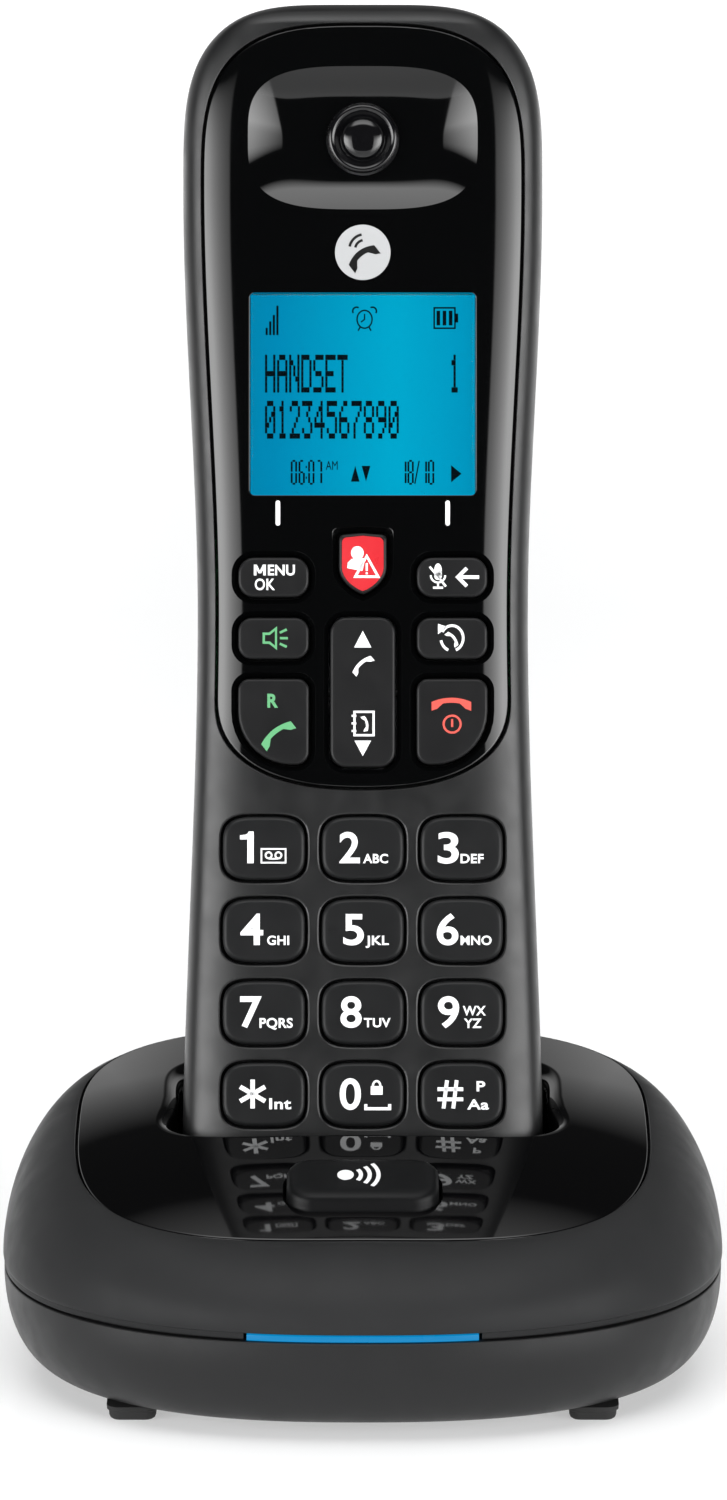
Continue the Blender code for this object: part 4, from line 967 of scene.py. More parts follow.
def build_fascia():
    fascia = handset_form("fascia_gloss", 208)
    keep(fascia, skin_tool("outline", fascia_outline, FASCIA_EDGE))
    cut(fascia, handset_form("under", 96, *(FASCIA_WALL,) * 4))
    for _, u, w, outline in FUNCTION_KEYS:
        cut(fascia, skin_tool("dish", outline, DISH, (u, w)))
    cut(fascia, skin_tool("dish", rocker_outline, DISH, (0.0, ROCKER_W)))
    cut(fascia, skin_tool("window", box_outline(31.5, 28.3, (0.75,) * 4),
                          ((0.12, -1.0), (0.1, -0.01), (0.0, 0.08), (0.0, None, 5.0)), (0.0, LENS_W)))
    cut(fascia, bowl_tool())
    cut(fascia, upright_bar("ring_hole", 0, EAR_W, -3, 5, 5.1, 64))
    shade(fascia, 32, body_surface)
    finish_piece(fascia, "handset", FASCIA, ["fascia"])


def build_earpiece():
    """Turned ring with a small dome in its middle."""
    profile = ((4.8, 1.6), (4.8, 0.92), (4.74, 0.62), (4.58, 0.44), (4.36, 0.37), (4.12, 0.46), (3.86, 0.74),
               (3.6, 1.10), (3.35, 1.38), (3.12, 1.46), (2.98, 1.36), (2.9, 1.10), (2.8, 0.86), (2.6, 0.66),
               (2.3, 0.51), (1.9, 0.40), (1.4, 0.32), (0.8, 0.27), (0.1, 0.25))
    rings = [at_depth(superellipse(radius, radius, 2.0, 96), t, EAR_W) for radius, t in profile]
    ring = loft("earpiece_turned_ring", rings, leaned=True)
    shade(ring, 50)
    finish_piece(ring, "handset", SATIN, ["earpiece_ring"])


def build_display():
    profile = ((0.0, 1.5), (0.0, 0.35), (-0.05, 0.22), (-0.16, 0.12), (-0.3, 0.1))
    rings = [at_depth(rounded(*LENS_SIZE, (0.6,) * 4, grow), t, LENS_W) for grow, t in profile]
    lens = loft("display_window", rings, leaned=True)
    shade(lens, 35)
    finish_piece(lens, "handset", LENS, ["display_lens"])


# ------------------------------------------------------------------ keys
def key_body(name, u, w, outline, top, finish, edge, dome):
    """Cap with a rounded shoulder, a faintly domed face, a skirt and a retaining flange."""
    layers = [(0.7, FLANGE_TOP + 0.8), (0.7, FLANGE_TOP), (0.0, FLANGE_TOP), (0.0, top + edge + 0.1)]
    for k in range(1, 7):
        a = math.pi / 2 * k / 6
        layers.append((-edge * (1 - math.cos(a)), top + edge * (1 - math.sin(a)) + dome * 0.5))
    layers += [(-edge - 0.5, top + dome * 0.3), (-edge - 1.1, top + dome * 0.12), (-edge - 1.7, top)]
    rings = [at_depth(np.asarray(outline(grow)) + (u, w), t) for grow, t in layers]
    cap = loft("cap_" + name, rings, leaned=True)
    shade(cap, 35)
    finish_piece(cap, name, finish, [name])


def build_keys():
    for name, u, w in NUMBER_KEYS:
        key_body(name, u, w, number_outline, NUMBER_TOP, NUMBER, 0.62, 0.10)
    for name, u, w, outline in FUNCTION_KEYS:
        top = float(face_t(u, w)) - KEY_SINK
        key_body(name, u, w, outline, top, FUNCTION, 0.42, 0.05)


def build_rocker():
    layers = [(-0.4, 4.1), (0.0, 3.7), (0.0, 0.15)]
    for k in range(1, 7):
        a = math.pi / 2 * k / 6
        layers.append((-0.42 * (1 - math.cos(a)), -0.33 + 0.45 * (1 - math.sin(a))))
    layers += [(-1.0, -0.345), (-2.0, -0.35)]
    rings = [at_depth(rocker_outline(grow), t, ROCKER_W) for grow, t in layers]
    rocker = loft("cap_navigator", rings, leaned=True)
    join(rocker, round_bar("pins", (-5.6, 2.4, ROCKER_W), (5.6, 2.4, ROCKER_W), 0.55, 24, leaned=True))
    shade(rocker, 35)
    finish_piece(rocker, "key_navigator", FUNCTION, ["key_navigator"])


# ------------------------------------------------------------------ printed marks
def around(x, y, rx, ry, sides):
    turns = (2 * math.pi * k / sides for k in range(sides))
    return [(x + rx * math.cos(a), y + ry * math.sin(a)) for a in turns]


class Art:
    """Flat artwork in the plane of a face: simple polygons, millimetres, x right and y up."""

    def __init__(self):
        self.polys = []

    def poly(self, *points):
        self.polys.append([tuple(p) for p in points])

    def move(self, u, w):
        self.polys = [[(x + u, y + w) for x, y in poly] for poly in self.polys]

    def rect(self, x0, y0, x1, y1):
        self.poly((x0, y0), (x1, y0), (x1, y1), (x0, y1))

    def disc(self, x, y, rx, ry=None, sides=32):
        self.poly(*around(x, y, rx, rx if ry is None else ry, sides))

    def stroke(self, points, width, closed=False):
        """Ribbon along a polyline, mitred."""
        p = [Vector(q) for q in points]
        n = len(p)
        left, right = [], []
        for i in range(n):
            before = p[i] - p[i - 1] if i or closed else p[1] - p[0]
            after = p[(i + 1) % n] - p[i] if i < n - 1 or closed else p[-1] - p[-2]
            before, after = before.normalized(), after.normalized()
            middle = before + after
            middle = middle.normalized() if middle.length > 1e-6 else after
            side = Vector((-middle.y, middle.x))
            scale = width / 2 / max(side.dot(Vector((-after.y, after.x))), 0.5)
            left.append(p[i] + side * scale)
            right.append(p[i] - side * scale)
        last = n if closed else n - 1
        for i in range(last):
            j = (i + 1) % n
            self.poly(right[i], right[j], left[j], left[i])

    def arc(self, x, y, radius, start, end, width, ry=None, steps=18):
        ry = radius if ry is None else ry
        points = []
        for k in range(steps + 1):
            a = math.radians(start + (end - start) * k / steps)
            points.append((x + radius * math.cos(a), y + ry * math.sin(a)))
        self.stroke(points, width)

    def ring(self, x, y, radius, width, ry=None):
        self.stroke(around(x, y, radius, radius if ry is None else ry, 36), width, closed=True)

    def text(self, body, x, y, height, bold=0.03, width=None, spacing=1.0):
        """Sans lettering with its lower left corner at (x, y)."""
        curve = bpy.data.curves.new("lettering", "FONT")
        curve.body = body
        curve.size = 1.0
        curve.offset = bold
        curve.resolution_u = 6
        curve.space_character = spacing
        curve.fill_mode = "FRONT"
        holder = bpy.data.objects.new("lettering", curve)
        bpy.context.scene.collection.objects.link(holder)
        graph = bpy.context.evaluated_depsgraph_get()
        mesh = bpy.data.meshes.new_from_object(holder.evaluated_get(graph))
        points = np.array([v.co[:2] for v in mesh.vertices])
        low, high = points.min(0), points.max(0)
        sy = height / (0.7 + 2 * bold)
        sx = sy if width is None else width / (high[0] - low[0])
        for face in mesh.polygons:
            self.polys.append([
                ((points[k][0] - low[0]) * sx + x, (points[k][1] + bold) * sy + y)
                for k in face.vertices
            ])
        bpy.data.objects.remove(holder, do_unlink=True)


def stamp(name, art, depth, body, finish, proud=0.035, sunk=0.06, place=None):
    """Lay artwork on a surface as a thin closed film; depth(x, y) gives the face there."""
    solid = bmesh.new()
    seen = {}

    def corner(x, y):
        key = (round(x, 4), round(y, 4))
        if key not in seen:
            seen[key] = solid.verts.new((key[0], key[1], 0.0))
        return seen[key]

    for poly in art.polys:
        verts = []
        for x, y in poly:
            v = corner(x, y)
            if v not in verts:
                verts.append(v)
        if len(verts) > 2:
            pairs = zip(verts, verts[1:] + verts[:1])
            area = sum(a.co.x * b.co.y - b.co.x * a.co.y for a, b in pairs)
            if abs(area) < 1e-7:
                continue
            if area < 0:
                verts.reverse()
            if solid.faces.get(verts) is None:
                solid.faces.new(verts)
    faces = solid.faces[:]
    made = bmesh.ops.extrude_face_region(solid, geom=faces)
    top = {v for v in made["geom"] if isinstance(v, bmesh.types.BMVert)}
    for v in solid.verts:
        x, y = v.co.x, v.co.y
        if place is None:
            t = float(depth(x, y)) + (-proud if v in top else sunk)
            v.co = Vector(lean([(x, t, y)])[0]) * MM
        else:
            v.co = Vector(place(x, y, proud if v in top else -sunk)) * MM
    bmesh.ops.recalc_face_normals(solid, faces=solid.faces[:])
    mesh = bpy.data.meshes.new(name)
    solid.to_mesh(mesh)
    solid.free()
    obj = bpy.data.objects.new(name, mesh)
    bpy.context.scene.collection.objects.link(obj)
    finish_piece(obj, body, finish)


def flat(t):
    return lambda x, y: t


def receiver(art, x, y, length, width, turn):
    """Generic telephone handset silhouette: a bent bar with two feet."""
    bend = math.radians(turn)

    def at(px, py):
        return (x + px * math.cos(bend) - py * math.sin(bend), y + px * math.sin(bend) + py * math.cos(bend))

    top, low = [], []
    for k in range(15):
        s = -1 + 2 * k / 14
        px = s * length / 2
        rise = width * (0.92 - 0.55 * s * s)
        top.append((px, rise))
        foot = 0.52 * float(smoothstep((abs(s) - 0.50) / 0.14))
        low.append((px, rise - width * (0.66 + foot)))
    for i in range(14):
        art.poly(at(*low[i]), at(*low[i + 1]), at(*top[i + 1]), at(*top[i]))


# ------------------------------------------------------------------ lettering of the number keys
# Left edge, base line and height of the digit, then small lettering (text, x, y, height, width).
NUMBER_ART = {
    "key_1": ("", 0, 0, 0, 0, ()),
    "key_2": ("2", -3.25, -2.08, 4.4, 2.85, (("ABC", 0.05, -2.08, 1.32, 3.45),)),
    "key_3": ("3", -3.30, -2.10, 4.4, 2.90, (("DEF", -0.15, -2.08, 1.32, 3.2),)),
    "key_4": ("4", -3.25, -2.02, 4.4, 3.15, (("GHI", 0.45, -2.02, 1.32, 3.05),)),
    "key_5": ("5", -2.70, -2.02, 4.4, 2.85, (("JKL", 0.40, -2.02, 1.32, 3.2),)),
    "key_6": ("6", -3.45, -2.02, 4.4, 3.0, (("MNO", -0.15, -2.02, 1.32, 4.3),)),
    "key_7": ("7", -3.30, -2.02, 4.4, 3.0, (("PQRS", -0.60, -2.10, 1.40, 4.6),)),
    "key_8": ("8", -3.10, -2.05, 4.4, 2.95, (("TUV", 0.15, -2.02, 1.32, 3.7),)),
    "key_9": ("9", -3.30, -2.05, 4.4, 2.95,
              (("WX", 0.15, -0.38, 1.35, 3.2), ("YZ", 0.30, -2.12, 1.35, 2.45))),
    "key_star": ("", 0, 0, 0, 0, (("Int", 0.75, -2.05, 1.55, 3.05),)),
    "key_0": ("0", -3.20, -2.10, 4.4, 2.95, ()),
    "key_hash": ("", 0, 0, 0, 0, (("P", 2.05, 0.42, 1.45, 1.2), ("Aa", 0.75, -2.10, 1.45, 3.0))),
}


def number_marks(name, art):
    digit, x, y, height, width, small = NUMBER_ART[name]
    if digit:
        art.text(digit, x, y, height, 0.018, width)
    for body, sx, sy, sh, sw in small:
        art.text(body, sx, sy, sh, 0.024, sw, 1.05)
    if name == "key_1":
        art.poly((-2.30, -2.08), (-1.42, -2.08), (-1.42, 2.32), (-2.12, 2.32), (-2.30, 2.0))
        art.poly((-3.32, 1.22), (-2.30, 1.22), (-2.30, 2.0), (-2.60, 1.88), (-3.32, 1.78))
        art.stroke([(-0.35, -2.0), (-0.35, -0.1), (3.0, -0.1), (3.0, -2.0)], 0.22, closed=True)
        for sx in (0.65, 2.0):
            art.ring(sx, -0.98, 0.42, 0.24)
        art.stroke([(0.65, -1.46), (2.0, -1.46)], 0.22)
    if name == "key_0":
        art.rect(1.10, -0.05, 2.75, 1.15)
        art.arc(1.92, 1.12, 0.52, 0, 180, 0.30, 0.72)
        art.stroke([(0.42, -1.35), (0.42, -1.98), (3.72, -1.98), (3.72, -1.35)], 0.42)
    if name == "key_star":
        for k in range(6):
            a = math.radians(90 + 60 * k)
            art.stroke([(-1.55 + 0.1 * math.cos(a), 0.05 + 0.1 * math.sin(a)),
                        (-1.55 + 2.0 * math.cos(a), 0.05 + 2.0 * math.sin(a))], 0.62)
    if name == "key_hash":
        for dx in (-0.62, 0.72):
            art.stroke([(-1.90 + dx, -1.95), (-1.42 + dx, 1.95)], 0.52)
        for dy in (-0.68, 0.72):
            art.stroke([(-3.35, dy), (0.20, dy)], 0.52)


def build_number_marks():
    for name, u, w in NUMBER_KEYS:
        art = Art()
        number_marks(name, art)
        art.move(u, w)
        stamp("ink_" + name, art, flat(NUMBER_TOP), name, WHITE)
    pip = Art()
    pip.disc(-4.2, NUMBER_ROWS[1] + 0.1, 0.32)
    stamp("pip_key_5", pip, flat(NUMBER_TOP), "key_5", NUMBER, proud=0.16)


def draw_menu(art):
    art.stroke([(-2.55, 0.24), (-2.55, 1.75)], 0.36)
    art.stroke([(-1.25, 0.24), (-1.25, 1.75)], 0.36)
    art.poly((-2.73, 1.75), (-2.33, 1.75), (-1.73, 0.52), (-2.07, 0.52))
    art.poly((-1.47, 1.75), (-1.07, 1.75), (-1.73, 0.52), (-2.07, 0.52))
    art.text("ENU", -0.78, 0.24, 1.52, 0.026, 3.75, 1.04)
    art.text("OK", -2.60, -1.80, 1.62, 0.018, 2.8, 1.06)


def draw_mute(art):
    art.disc(-1.95, 0.95, 0.52, 0.95)
    art.rect(-2.47, 0.15, -1.43, 0.95)
    art.disc(-1.95, 0.15, 0.52, 0.55)
    art.arc(-1.95, 0.25, 1.0, 180, 360, 0.26, 1.0)
    art.rect(-2.08, -1.35, -1.82, -0.7)
    art.rect(-2.65, -1.62, -1.25, -1.32)
    art.stroke([(-3.10, 1.45), (-0.85, -1.30)], 0.30)
    art.stroke([(1.1, 0.0), (3.75, 0.0)], 0.48)
    art.stroke([(2.05, 1.25), (0.80, 0.0), (2.05, -1.25)], 0.50)


def draw_speaker(art):
    horn = [(-1.35, -0.62), (-1.35, 0.62), (-0.55, 0.62), (0.35, 1.35), (0.35, -1.35), (-0.55, -0.62)]
    art.stroke(horn, 0.33, closed=True)
    for a in (-28, 0, 28):
        c, s = math.cos(math.radians(a)), math.sin(math.radians(a))
        art.stroke([(0.65 + 0.25 * c, 1.0 * s * 1.6), (0.65 + 1.35 * c, 1.6 * s + 1.0 * s)], 0.33)


def draw_redial(art):
    art.arc(0, 0, 1.55, -70, 150, 0.36, 1.75)
    art.arc(0, 0, 1.55, 190, 250, 0.36, 1.75)
    art.poly((-1.95, 0.55), (-0.65, 1.55), (-1.95, 2.0))
    receiver(art, 0.0, -0.15, 2.3, 0.55, -52)


def draw_talk_r(art):
    art.text("R", -0.85, 1.92, 2.0, 0.035, 1.5)


def draw_talk_phone(art):
    receiver(art, 0.60, -1.85, 5.2, 1.05, 38)


def draw_end_phone(art):
    receiver(art, -0.1, 2.35, 5.5, 1.05, 0)
    art.ring(0.0, -0.35, 1.18, 0.30)
    art.rect(-0.15, -0.75, 0.15, 0.35)


def draw_shield(art):
    art.poly(*shield_outline(-0.42))


def draw_shield_marks(art):
    art.disc(-0.75, 1.55, 0.88, 0.95)
    art.poly((-2.15, -0.55), (-0.05, -0.95), (0.35, 0.75), (-0.35, 0.95), (-1.55, 0.72), (-2.1, 0.2))
    art.stroke([(0.55, 1.1), (2.15, -1.75), (-1.05, -1.75)], 0.34, closed=True)
    art.rect(0.40, -0.95, 0.70, 0.15)
    art.rect(0.40, -1.42, 0.70, -1.15)


def draw_rocker_up(art):
    art.poly((-1.2, 6.2), (1.2, 6.2), (0.0, 8.5))
    receiver(art, 0.0, 3.7, 3.4, 0.72, 42)


def draw_rocker_down(art):
    art.stroke([(-1.15, -6.0), (-1.15, -2.75), (1.5, -2.75), (1.5, -6.0)], 0.30, closed=True)
    for y in (-3.3, -4.35, -5.4):
        art.stroke([(-1.55, y), (-0.9, y)], 0.28)
    receiver(art, 0.28, -4.4, 2.1, 0.5, -78)
    art.poly((1.15, -6.75), (-1.15, -6.75), (0.0, -8.9))


# Name, key, centre across and up the face, finish and drawing.
FUNCTION_MARKS = (
    ("ink_menu_ok", "key_menu_ok", -SIDE_KEY_X, MENU_W, WHITE, draw_menu),
    ("ink_mute_back", "key_mute_back", SIDE_KEY_X, MENU_W, WHITE, draw_mute),
    ("ink_speaker", "key_speaker", -SIDE_KEY_X, SPEAKER_W, GREEN, draw_speaker),
    ("ink_redial", "key_redial", SIDE_KEY_X, SPEAKER_W, WHITE, draw_redial),
    ("ink_talk_recall", "key_talk", -SIDE_KEY_X, TALK_W, GREEN, draw_talk_r),
    ("ink_talk", "key_talk", -SIDE_KEY_X, TALK_W, GREEN, draw_talk_phone),
    ("ink_end", "key_end", SIDE_KEY_X, TALK_W, CORAL, draw_end_phone),
    ("shield_face", "key_call_block", 0.0, CALL_BLOCK_W, RED, draw_shield),
    ("ink_shield", "key_call_block", 0.0, CALL_BLOCK_W, WHITE, draw_shield_marks),
    ("ink_rocker_up", "key_navigator", 0.0, ROCKER_W, WHITE, draw_rocker_up),
    ("ink_rocker_down", "key_navigator", 0.0, ROCKER_W, WHITE, draw_rocker_down),
)


def build_function_marks():
    for name, key, u, w, finish, draw in FUNCTION_MARKS:
        art = Art()
        draw(art)
        art.move(u, w)
        top = -KEY_SINK if key == "key_navigator" else float(face_t(u, w)) - KEY_SINK
        if name == "ink_shield":
            top -= 0.035
        stamp(name, art, flat(top), key, finish)


DOTS = {
    "0": "01110 10001 10011 10101 11001 10001 01110", "1": "00100 01100 00100 00100 00100 00100 01110",
    "2": "01110 10001 00001 00010 00100 01000 11111", "3": "11111 00010 00100 00010 00001 10001 01110",
    "4": "00010 00110 01010 10010 11111 00010 00010", "5": "11111 10000 11110 00001 00001 10001 01110",
    "6": "00110 01000 10000 11110 10001 10001 01110", "7": "11111 00001 00010 00100 01000 01000 01000",
    "8": "01110 10001 10001 01110 10001 10001 01110", "9": "01110 10001 10001 01111 00001 00010 01100",
    "H": "10001 10001 10001 11111 10001 10001 10001", "A": "01110 10001 10001 11111 10001 10001 10001",
    "N": "10001 11001 10101 10101 10011 10001 10001", "D": "11110 10001 10001 10001 10001 10001 11110",
    "S": "01111 10000 10000 01110 00001 00001 11110", "E": "11111 10000 10000 11110 10000 10000 11111",
    "T": "11111 00100 00100 00100 00100 00100 00100",
}


def dot_text(art, body, x, y, pitch, cell_x, cell_y):
    """Dot-matrix lettering; (x, y) is the lower left of the first character."""
    for place, letter in enumerate(body):
        if letter == " ":
            continue
        for row, bits in enumerate(DOTS[letter].split()):
            for column, bit in enumerate(bits):
                if bit == "1":
                    x0 = x + place * pitch + column * cell_x
                    y0 = y + (6 - row) * cell_y
                    art.rect(x0 - 0.03, y0, x0 + cell_x, y0 + cell_y * 0.97)


SEGMENTS = {"0": "abcdef", "1": "bc", "2": "abged", "3": "abgcd", "4": "fgbc", "5": "afgcd", "6": "afgcde",
            "7": "abc", "8": "abcdefg", "9": "abcdfg"}


def segment_digit(art, digit, x, y, width, height):
    h = height / 2
    lines = {
        "a": ((0.12, height), (width - 0.12, height)), "g": ((0.12, h), (width - 0.12, h)),
        "d": ((0.12, 0), (width - 0.12, 0)), "f": ((0, h + 0.1), (0, height - 0.1)),
        "b": ((width, h + 0.1), (width, height - 0.1)), "e": ((0, 0.1), (0, h - 0.1)),
        "c": ((width, 0.1), (width, h - 0.1)),
    }
    for letter in SEGMENTS[digit]:
        (x0, y0), (x1, y1) = lines[letter]
        art.stroke([(x + x0, y + y0), (x + x1, y + y1)], 0.26)


def segment_text(art, digits, x, pitch):
    """Digits of the clock line; gives the x where the next one would start."""
    for digit in digits:
        segment_digit(art, digit, x, -12.4, 0.62, 3.2)
        x += pitch
    return x


def build_lcd():
    glass = block("lcd_glass_panel", (-15.6, 2.1, LENS_W - 14.0), (15.6, 3.6, LENS_W + 14.0), leaned=True)
    finish_piece(glass, "handset", LCD, ["lcd_module"])
    art = Art()
    dot_text(art, "HANDSET", -13.60, 0.35, 1.68, 0.285, 0.76)
    dot_text(art, "1", 12.10, 0.35, 1.68, 0.285, 0.76)
    dot_text(art, "01234567890", -13.60, -6.10, 1.72, 0.285, 0.76)
    for k, tall in enumerate((1.0, 1.9, 2.8, 4.1)):
        art.rect(-13.55 + k * 0.5, 8.4, -13.25 + k * 0.5, 8.4 + tall)
    art.ring(0.25, 10.6, 1.05, 0.20, 1.25)
    art.stroke([(0.25, 11.35), (0.25, 10.6), (-0.25, 10.2)], 0.18)
    art.arc(-0.85, 11.75, 0.55, 60, 210, 0.22)
    art.arc(1.35, 11.75, 0.55, -30, 120, 0.22)
    art.stroke([(-0.35, 9.55), (-0.65, 9.0)], 0.2)
    art.stroke([(0.85, 9.55), (1.15, 9.0)], 0.2)
    art.stroke([(9.95, 9.35), (9.95, 12.2), (12.85, 12.2), (12.85, 9.35)], 0.22, closed=True)
    art.rect(12.95, 10.15, 13.3, 11.4)
    for k in range(3):
        art.rect(10.28 + k * 0.86, 9.75, 10.78 + k * 0.86, 11.8)
    x = segment_text(art, "06", -9.9, 1.08)
    art.rect(x - 0.22, -11.7, x - 0.05, -11.4)
    art.rect(x - 0.22, -10.2, x - 0.05, -9.9)
    segment_text(art, "07", x + 0.26, 1.08)
    art.text("AM", -5.15, -10.45, 1.25, 0.0, 1.65)
    art.poly((-1.65, -12.1), (-0.45, -12.1), (-1.05, -9.9))
    art.poly((-0.15, -9.9), (1.05, -9.9), (0.45, -12.1))
    x = segment_text(art, "18", 5.35, 1.0)
    art.stroke([(x - 0.1, -12.4), (x + 0.5, -9.2)], 0.18)
    segment_text(art, "10", x + 0.85, 1.0)
    art.poly((12.3, -12.2), (13.75, -11.0), (12.3, -9.8))
    art.move(0.0, LENS_W)
    stamp("lcd_segments", art, flat(2.06), "handset", INK, 0.05, 0.0)


def build_face_marks():
    line_x, line_w = SOFT_LINE
    for name, x in (("left", -line_x), ("right", line_x)):
        art = Art()
        art.poly(*(rounded(0.62, 3.5, (0.3,) * 4) + (x, line_w)))
        stamp("soft_key_line_" + name, art, face_t_scalar, "handset", WHITE, proud=0.02, sunk=0.08)
    disc = Art()
    disc.disc(0.0, BADGE_W, 3.87, sides=72)
    stamp("badge_disc", disc, face_t_scalar, "handset", SILVER, proud=0.03, sunk=0.2)
    mark = Art()
    receiver(mark, 0.1, 131.7, 4.5, 1.25, 38)
    mark.arc(0.2, 132.9, 1.25, 100, 170, 0.36)
    mark.arc(0.2, 132.9, 2.05, 100, 170, 0.36)
    black = look("badge_black", (0.004, 0.004, 0.004), 0.3)
    stamp("badge_receiver", mark, face_t_scalar, "handset", black, proud=0.06, sunk=0.0)


def face_t_scalar(x, y):
    return float(face_t(np.array([x]), np.array([y]))[0])


def build_locate_mark():
    art = Art()
    art.disc(-2.35, LOCATE_Y + 0.2, 1.12, 1.25, sides=36)
    for radius in (2.1, 3.3, 4.5):
        art.arc(-2.35, LOCATE_Y + 0.2, radius, -36, 36, 0.56, radius * 1.12)

    def place(x, y, lift):
        return (x, y, float(crown(x, y)) + 2.0 + lift)

    stamp("ink_locate", art, None, "locate_button", WHITE, proud=0.045, sunk=0.05, place=place)


# ------------------------------------------------------------------ small hardware
SCREW_PROFILE = ((0.6, 3.75), (2.2, 3.62), (2.55, 3.75), (2.7, 4.1), (2.7, 5.0), (1.25, 5.0),
                 (1.25, 16.8), (0.4, 18.0))


def build_base_screws():
    """Pan-head screws with a cross recess, seen in the bottom shell."""
    slot = np.array([(1.5, 0.28), (-1.5, 0.28), (-1.5, -0.28), (1.5, -0.28)])
    for side, x in (("left", -BASE_SCREW_X), ("right", BASE_SCREW_X)):
        place = (x, BASE_SCREW_Y)
        rings = [with_height(superellipse(r, r, 2.0, 32) + place, z) for r, z in SCREW_PROFILE]
        screw = loft("screw_base_" + side, rings)
        for turn in (20, 110):
            c, s = math.cos(math.radians(turn)), math.sin(math.radians(turn))
            bar = slot @ np.array([[c, s], [-s, c]]) + place
            cut(screw, loft("recess", [with_height(bar, 3.0), with_height(bar, 4.5)]))
        shade(screw, 30)
        finish_piece(screw, "base", STEEL, ["base_screw_" + side])


def pin_place(x, y, lift):
    """Pins that slope down along the socket's roof."""
    return (x, y, 11.72 - 0.8 * (y - 37.0) / 7.0 - abs(lift))


def build_sockets():
    for name, x, width in SOCKETS:
        body = block("jack", (x - width / 2, 33.5, 4.6), (x + width / 2, 45.4, 13.0))
        half = width / 2 - 1.6
        clip = half * 0.45
        outline = ((half, 6.0), (half, 11.8), (-half, 11.8), (-half, 6.0),
                   (-clip, 6.0), (-clip, 5.3), (clip, 5.3), (clip, 6.0))
        mouth = [
            [(px * k + x, y, 8.9 + (z - 8.9) * k) for px, z in outline]
            for k, y in ((1.0, 36.5), (1.0, 45.0), (1.05, 45.25), (1.09, 50.0))
        ]
        cut(body, loft("mouth", mouth))
        shade(body, 25)
        body.name = "socket_" + name
        finish_piece(body, "base", JACK, [name])
        wires = Art()
        pins = 4 if name == "line_jack" else 2
        for k in range(pins):
            px = x + (k - (pins - 1) / 2) * 1.1
            wires.rect(px - 0.22, 37.0, px + 0.22, 44.0)
        stamp("pins_" + name, wires, None, "base", PLATED, 0.25, 0.0, pin_place)


REPAINTED = (
    (BOARD, "base_pcb handset_pcb"),
    (PLATED, "charge_contact_left charge_contact_right battery_contact_lower battery_contact_upper"),
    (PLATED, "handset_contact_left handset_contact_right"),
    (STEEL, "handset_screw_left handset_screw_right"),
    (TIN, "earpiece_speaker microphone ringer_speaker"),
    (CELL, "battery_cell_left battery_cell_right"),
    (JACK, "locate_switch"),
    (WHITE, "strip_led"),
    (FRAME_WHITE, "lcd_frame"),
    (MAT, "keypad_mat"),
)


def repaint():
    """The CAD pieces that stay, each with its own finish."""
    for finish, names in REPAINTED:
        for name in names.split():
            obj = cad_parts[name]
            obj.data.materials.clear()
            obj.data.materials.append(finish)


# ------------------------------------------------------------------ studio
def floor_look():
    """Pale floor with a painted glow, which grows brighter far behind the phone."""
    finish = look("floor_white", (0.78, 0.785, 0.79), 0.10, spread=0.004, rough_spread=0.01,
                  patch_scale=3.0, emission=(1, 1, 1), strength=0.42)
    tree = finish.node_tree
    coords = node(tree, "ShaderNodeTexCoord")
    reach = node(tree, "ShaderNodeVectorMath", operation="LENGTH")
    tree.links.new(coords.outputs["Object"], reach.inputs[0])
    shader = next(n for n in tree.nodes if n.type == "BSDF_PRINCIPLED")
    # Painted glow: the floor's emission lifts the shadows near the phone and rises from 0.42 to 0.95 with
    # distance from it.
    painted_glow_ramp = ranged(tree, reach.outputs["Value"], 0.42, 0.95, 0.6, 2.2)
    tree.links.new(painted_glow_ramp, shader.inputs["Emission Strength"])
    return finish


def build_floor():
    count = 96
    rings = [with_height(superellipse(r, r, 2.0, count), 0.0) for r in (4000.0, 1200.0, 300.0, 60.0, 2.0)]
    verts = np.concatenate(rings)
    faces = []
    for k in range(len(rings) - 1):
        for i in range(count):
            j = (i + 1) % count
            faces.append((k * count + i, k * count + j, (k + 1) * count + j, (k + 1) * count + i))
    faces.append(tuple((len(rings) - 1) * count + i for i in range(count)))
    floor = raw_object("studio_floor", verts, faces)
    if floor.data.polygons[0].normal.z < 0:
        floor.data.flip_normals()
    floor.data.materials.append(floor_look())


SKY = 0.75
SIDE_LIGHT = 10.8
TOP_LIGHT = 3.4


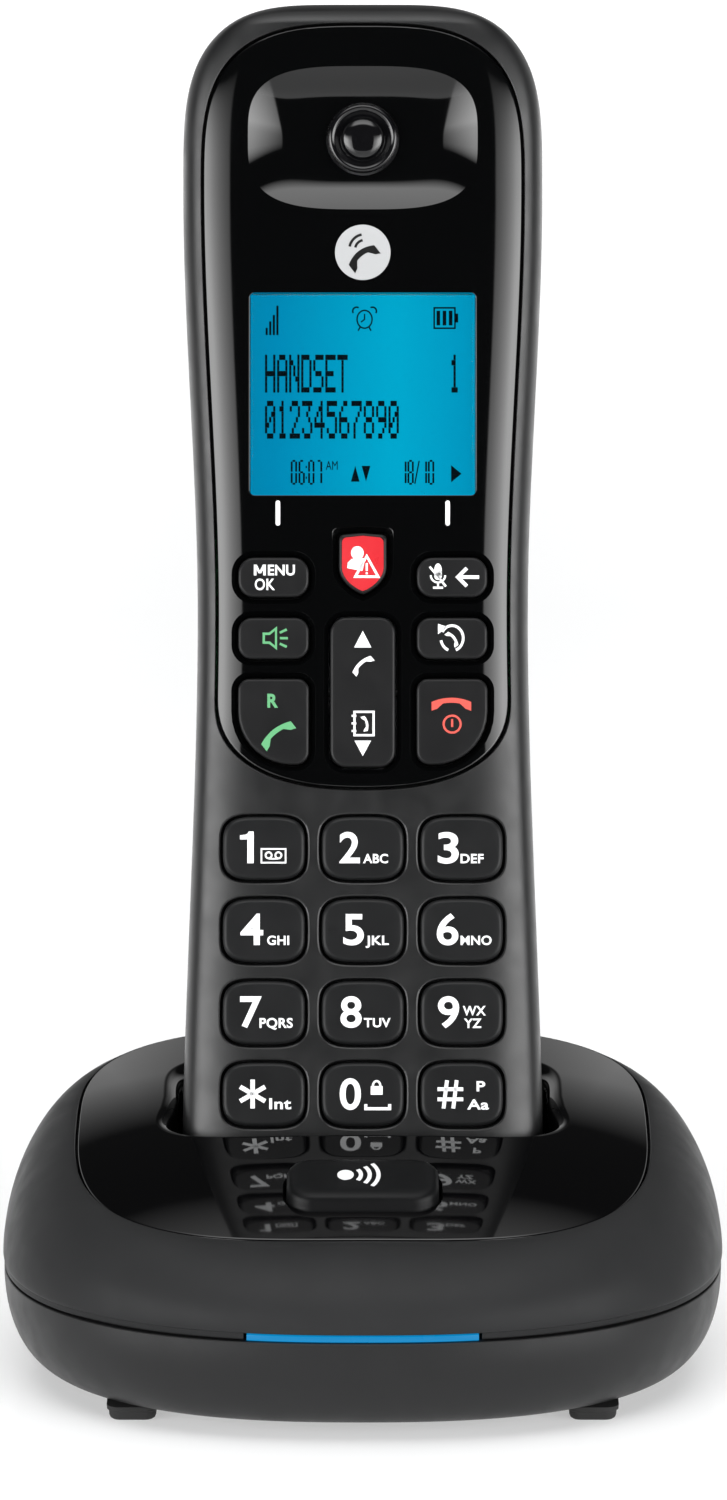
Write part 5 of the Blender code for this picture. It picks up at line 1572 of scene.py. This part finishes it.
def build_world():
    """Large soft panels to both sides and overhead, dark in front, and white to the camera itself."""
    world = bpy.data.worlds.new("studio")
    bpy.context.scene.world = world
    world.use_nodes = True
    tree = world.node_tree
    tree.nodes.clear()
    out = node(tree, "ShaderNodeOutputWorld")
    coords = node(tree, "ShaderNodeTexCoord")
    split = node(tree, "ShaderNodeSeparateXYZ")
    tree.links.new(coords.outputs["Generated"], split.inputs["Vector"])

    def maths(kind, a, b=None):
        made = node(tree, "ShaderNodeMath", operation=kind)
        for slot, value in enumerate((a, b)):
            if value is None:
                continue
            if isinstance(value, (int, float)):
                made.inputs[slot].default_value = value
            else:
                tree.links.new(value, made.inputs[slot])
        return made.outputs[0]

    def step(value, low, high):
        return ranged(tree, value, 0.0, 1.0, low, high)

    x, y, z = split.outputs["X"], split.outputs["Y"], split.outputs["Z"]
    flat_length = maths("SQRT", maths("ADD", maths("MULTIPLY", x, x), maths("MULTIPLY", y, y)))
    aside = maths("DIVIDE", maths("ABSOLUTE", x), maths("MAXIMUM", flat_length, 0.001))
    panel = maths("MULTIPLY", step(aside, 0.30, 0.32), ranged(tree, aside, 0.30, 1.0, 0.30, 0.66))
    side = maths("MULTIPLY", panel, maths("SUBTRACT", 1.0, step(z, 0.26, 0.42)))
    side = maths("MULTIPLY", side, step(z, -0.30, -0.12))
    side = maths("MULTIPLY", side, maths("SUBTRACT", 1.0, step(y, -0.35, 0.0)))
    top = maths("MULTIPLY", step(z, 0.70, 0.78), ranged(tree, y, 1.5, 0.2, -0.6, 0.4))
    top = maths("MULTIPLY", top, ranged(tree, maths("ABSOLUTE", x), 1.0, 0.12, 0.34, 0.5))
    back = maths("MULTIPLY", step(y, 0.2, 0.6), maths("SUBTRACT", 1.0, step(z, 0.34, 0.52)))
    back = maths("MULTIPLY", back, ranged(tree, maths("ABSOLUTE", x), 0.15, 1.0, 0.02, 0.12))
    total = maths("ADD", maths("MULTIPLY", side, SIDE_LIGHT), maths("MULTIPLY", top, TOP_LIGHT))
    total = maths("ADD", total, maths("MULTIPLY", back, SKY))
    total = maths("ADD", total, 0.03)
    light = node(tree, "ShaderNodeBackground")
    tree.links.new(total, light.inputs["Strength"])
    white = node(tree, "ShaderNodeBackground")
    white.inputs["Strength"].default_value = 1.2
    path = node(tree, "ShaderNodeLightPath")
    choose = node(tree, "ShaderNodeMixShader")
    tree.links.new(path.outputs["Is Camera Ray"], choose.inputs[0])
    tree.links.new(light.outputs[0], choose.inputs[1])
    tree.links.new(white.outputs[0], choose.inputs[2])
    tree.links.new(choose.outputs[0], out.inputs["Surface"])
    world.cycles.sampling_method = "MANUAL"
    world.cycles.sample_map_resolution = 1024


CAMERA_ELEVATION = math.radians(11.0)
CAMERA_DISTANCE = 1.15
AIM = Vector((0.0001, 0.0, 0.0862))


def build_camera():
    camera = bpy.data.cameras.new("camera")
    holder = bpy.data.objects.new("camera", camera)
    bpy.context.scene.collection.objects.link(holder)
    back = Vector((0.0, -math.cos(CAMERA_ELEVATION), math.sin(CAMERA_ELEVATION)))
    holder.location = AIM + back * CAMERA_DISTANCE
    holder.rotation_euler = (-back).to_track_quat("-Z", "Y").to_euler()
    camera.sensor_width = 36.0
    camera.lens = 36.0 * CAMERA_DISTANCE / 0.2070
    camera.clip_start = 0.05
    camera.clip_end = 20.0
    bpy.context.scene.camera = holder


def main():
    build_camera()
    build_world()
    build_floor()
    bpy.context.scene.view_settings.view_transform = "Standard"
    build_top_shell()
    build_bottom_shell()
    build_panel()
    build_strip()
    build_locate()
    build_feet()
    build_front_case()
    build_back_case()
    build_door()
    build_fascia()
    build_earpiece()
    build_display()
    build_keys()
    build_rocker()
    build_number_marks()
    build_function_marks()
    build_lcd()
    build_face_marks()
    build_locate_mark()
    build_base_screws()
    build_sockets()
    repaint()


main()
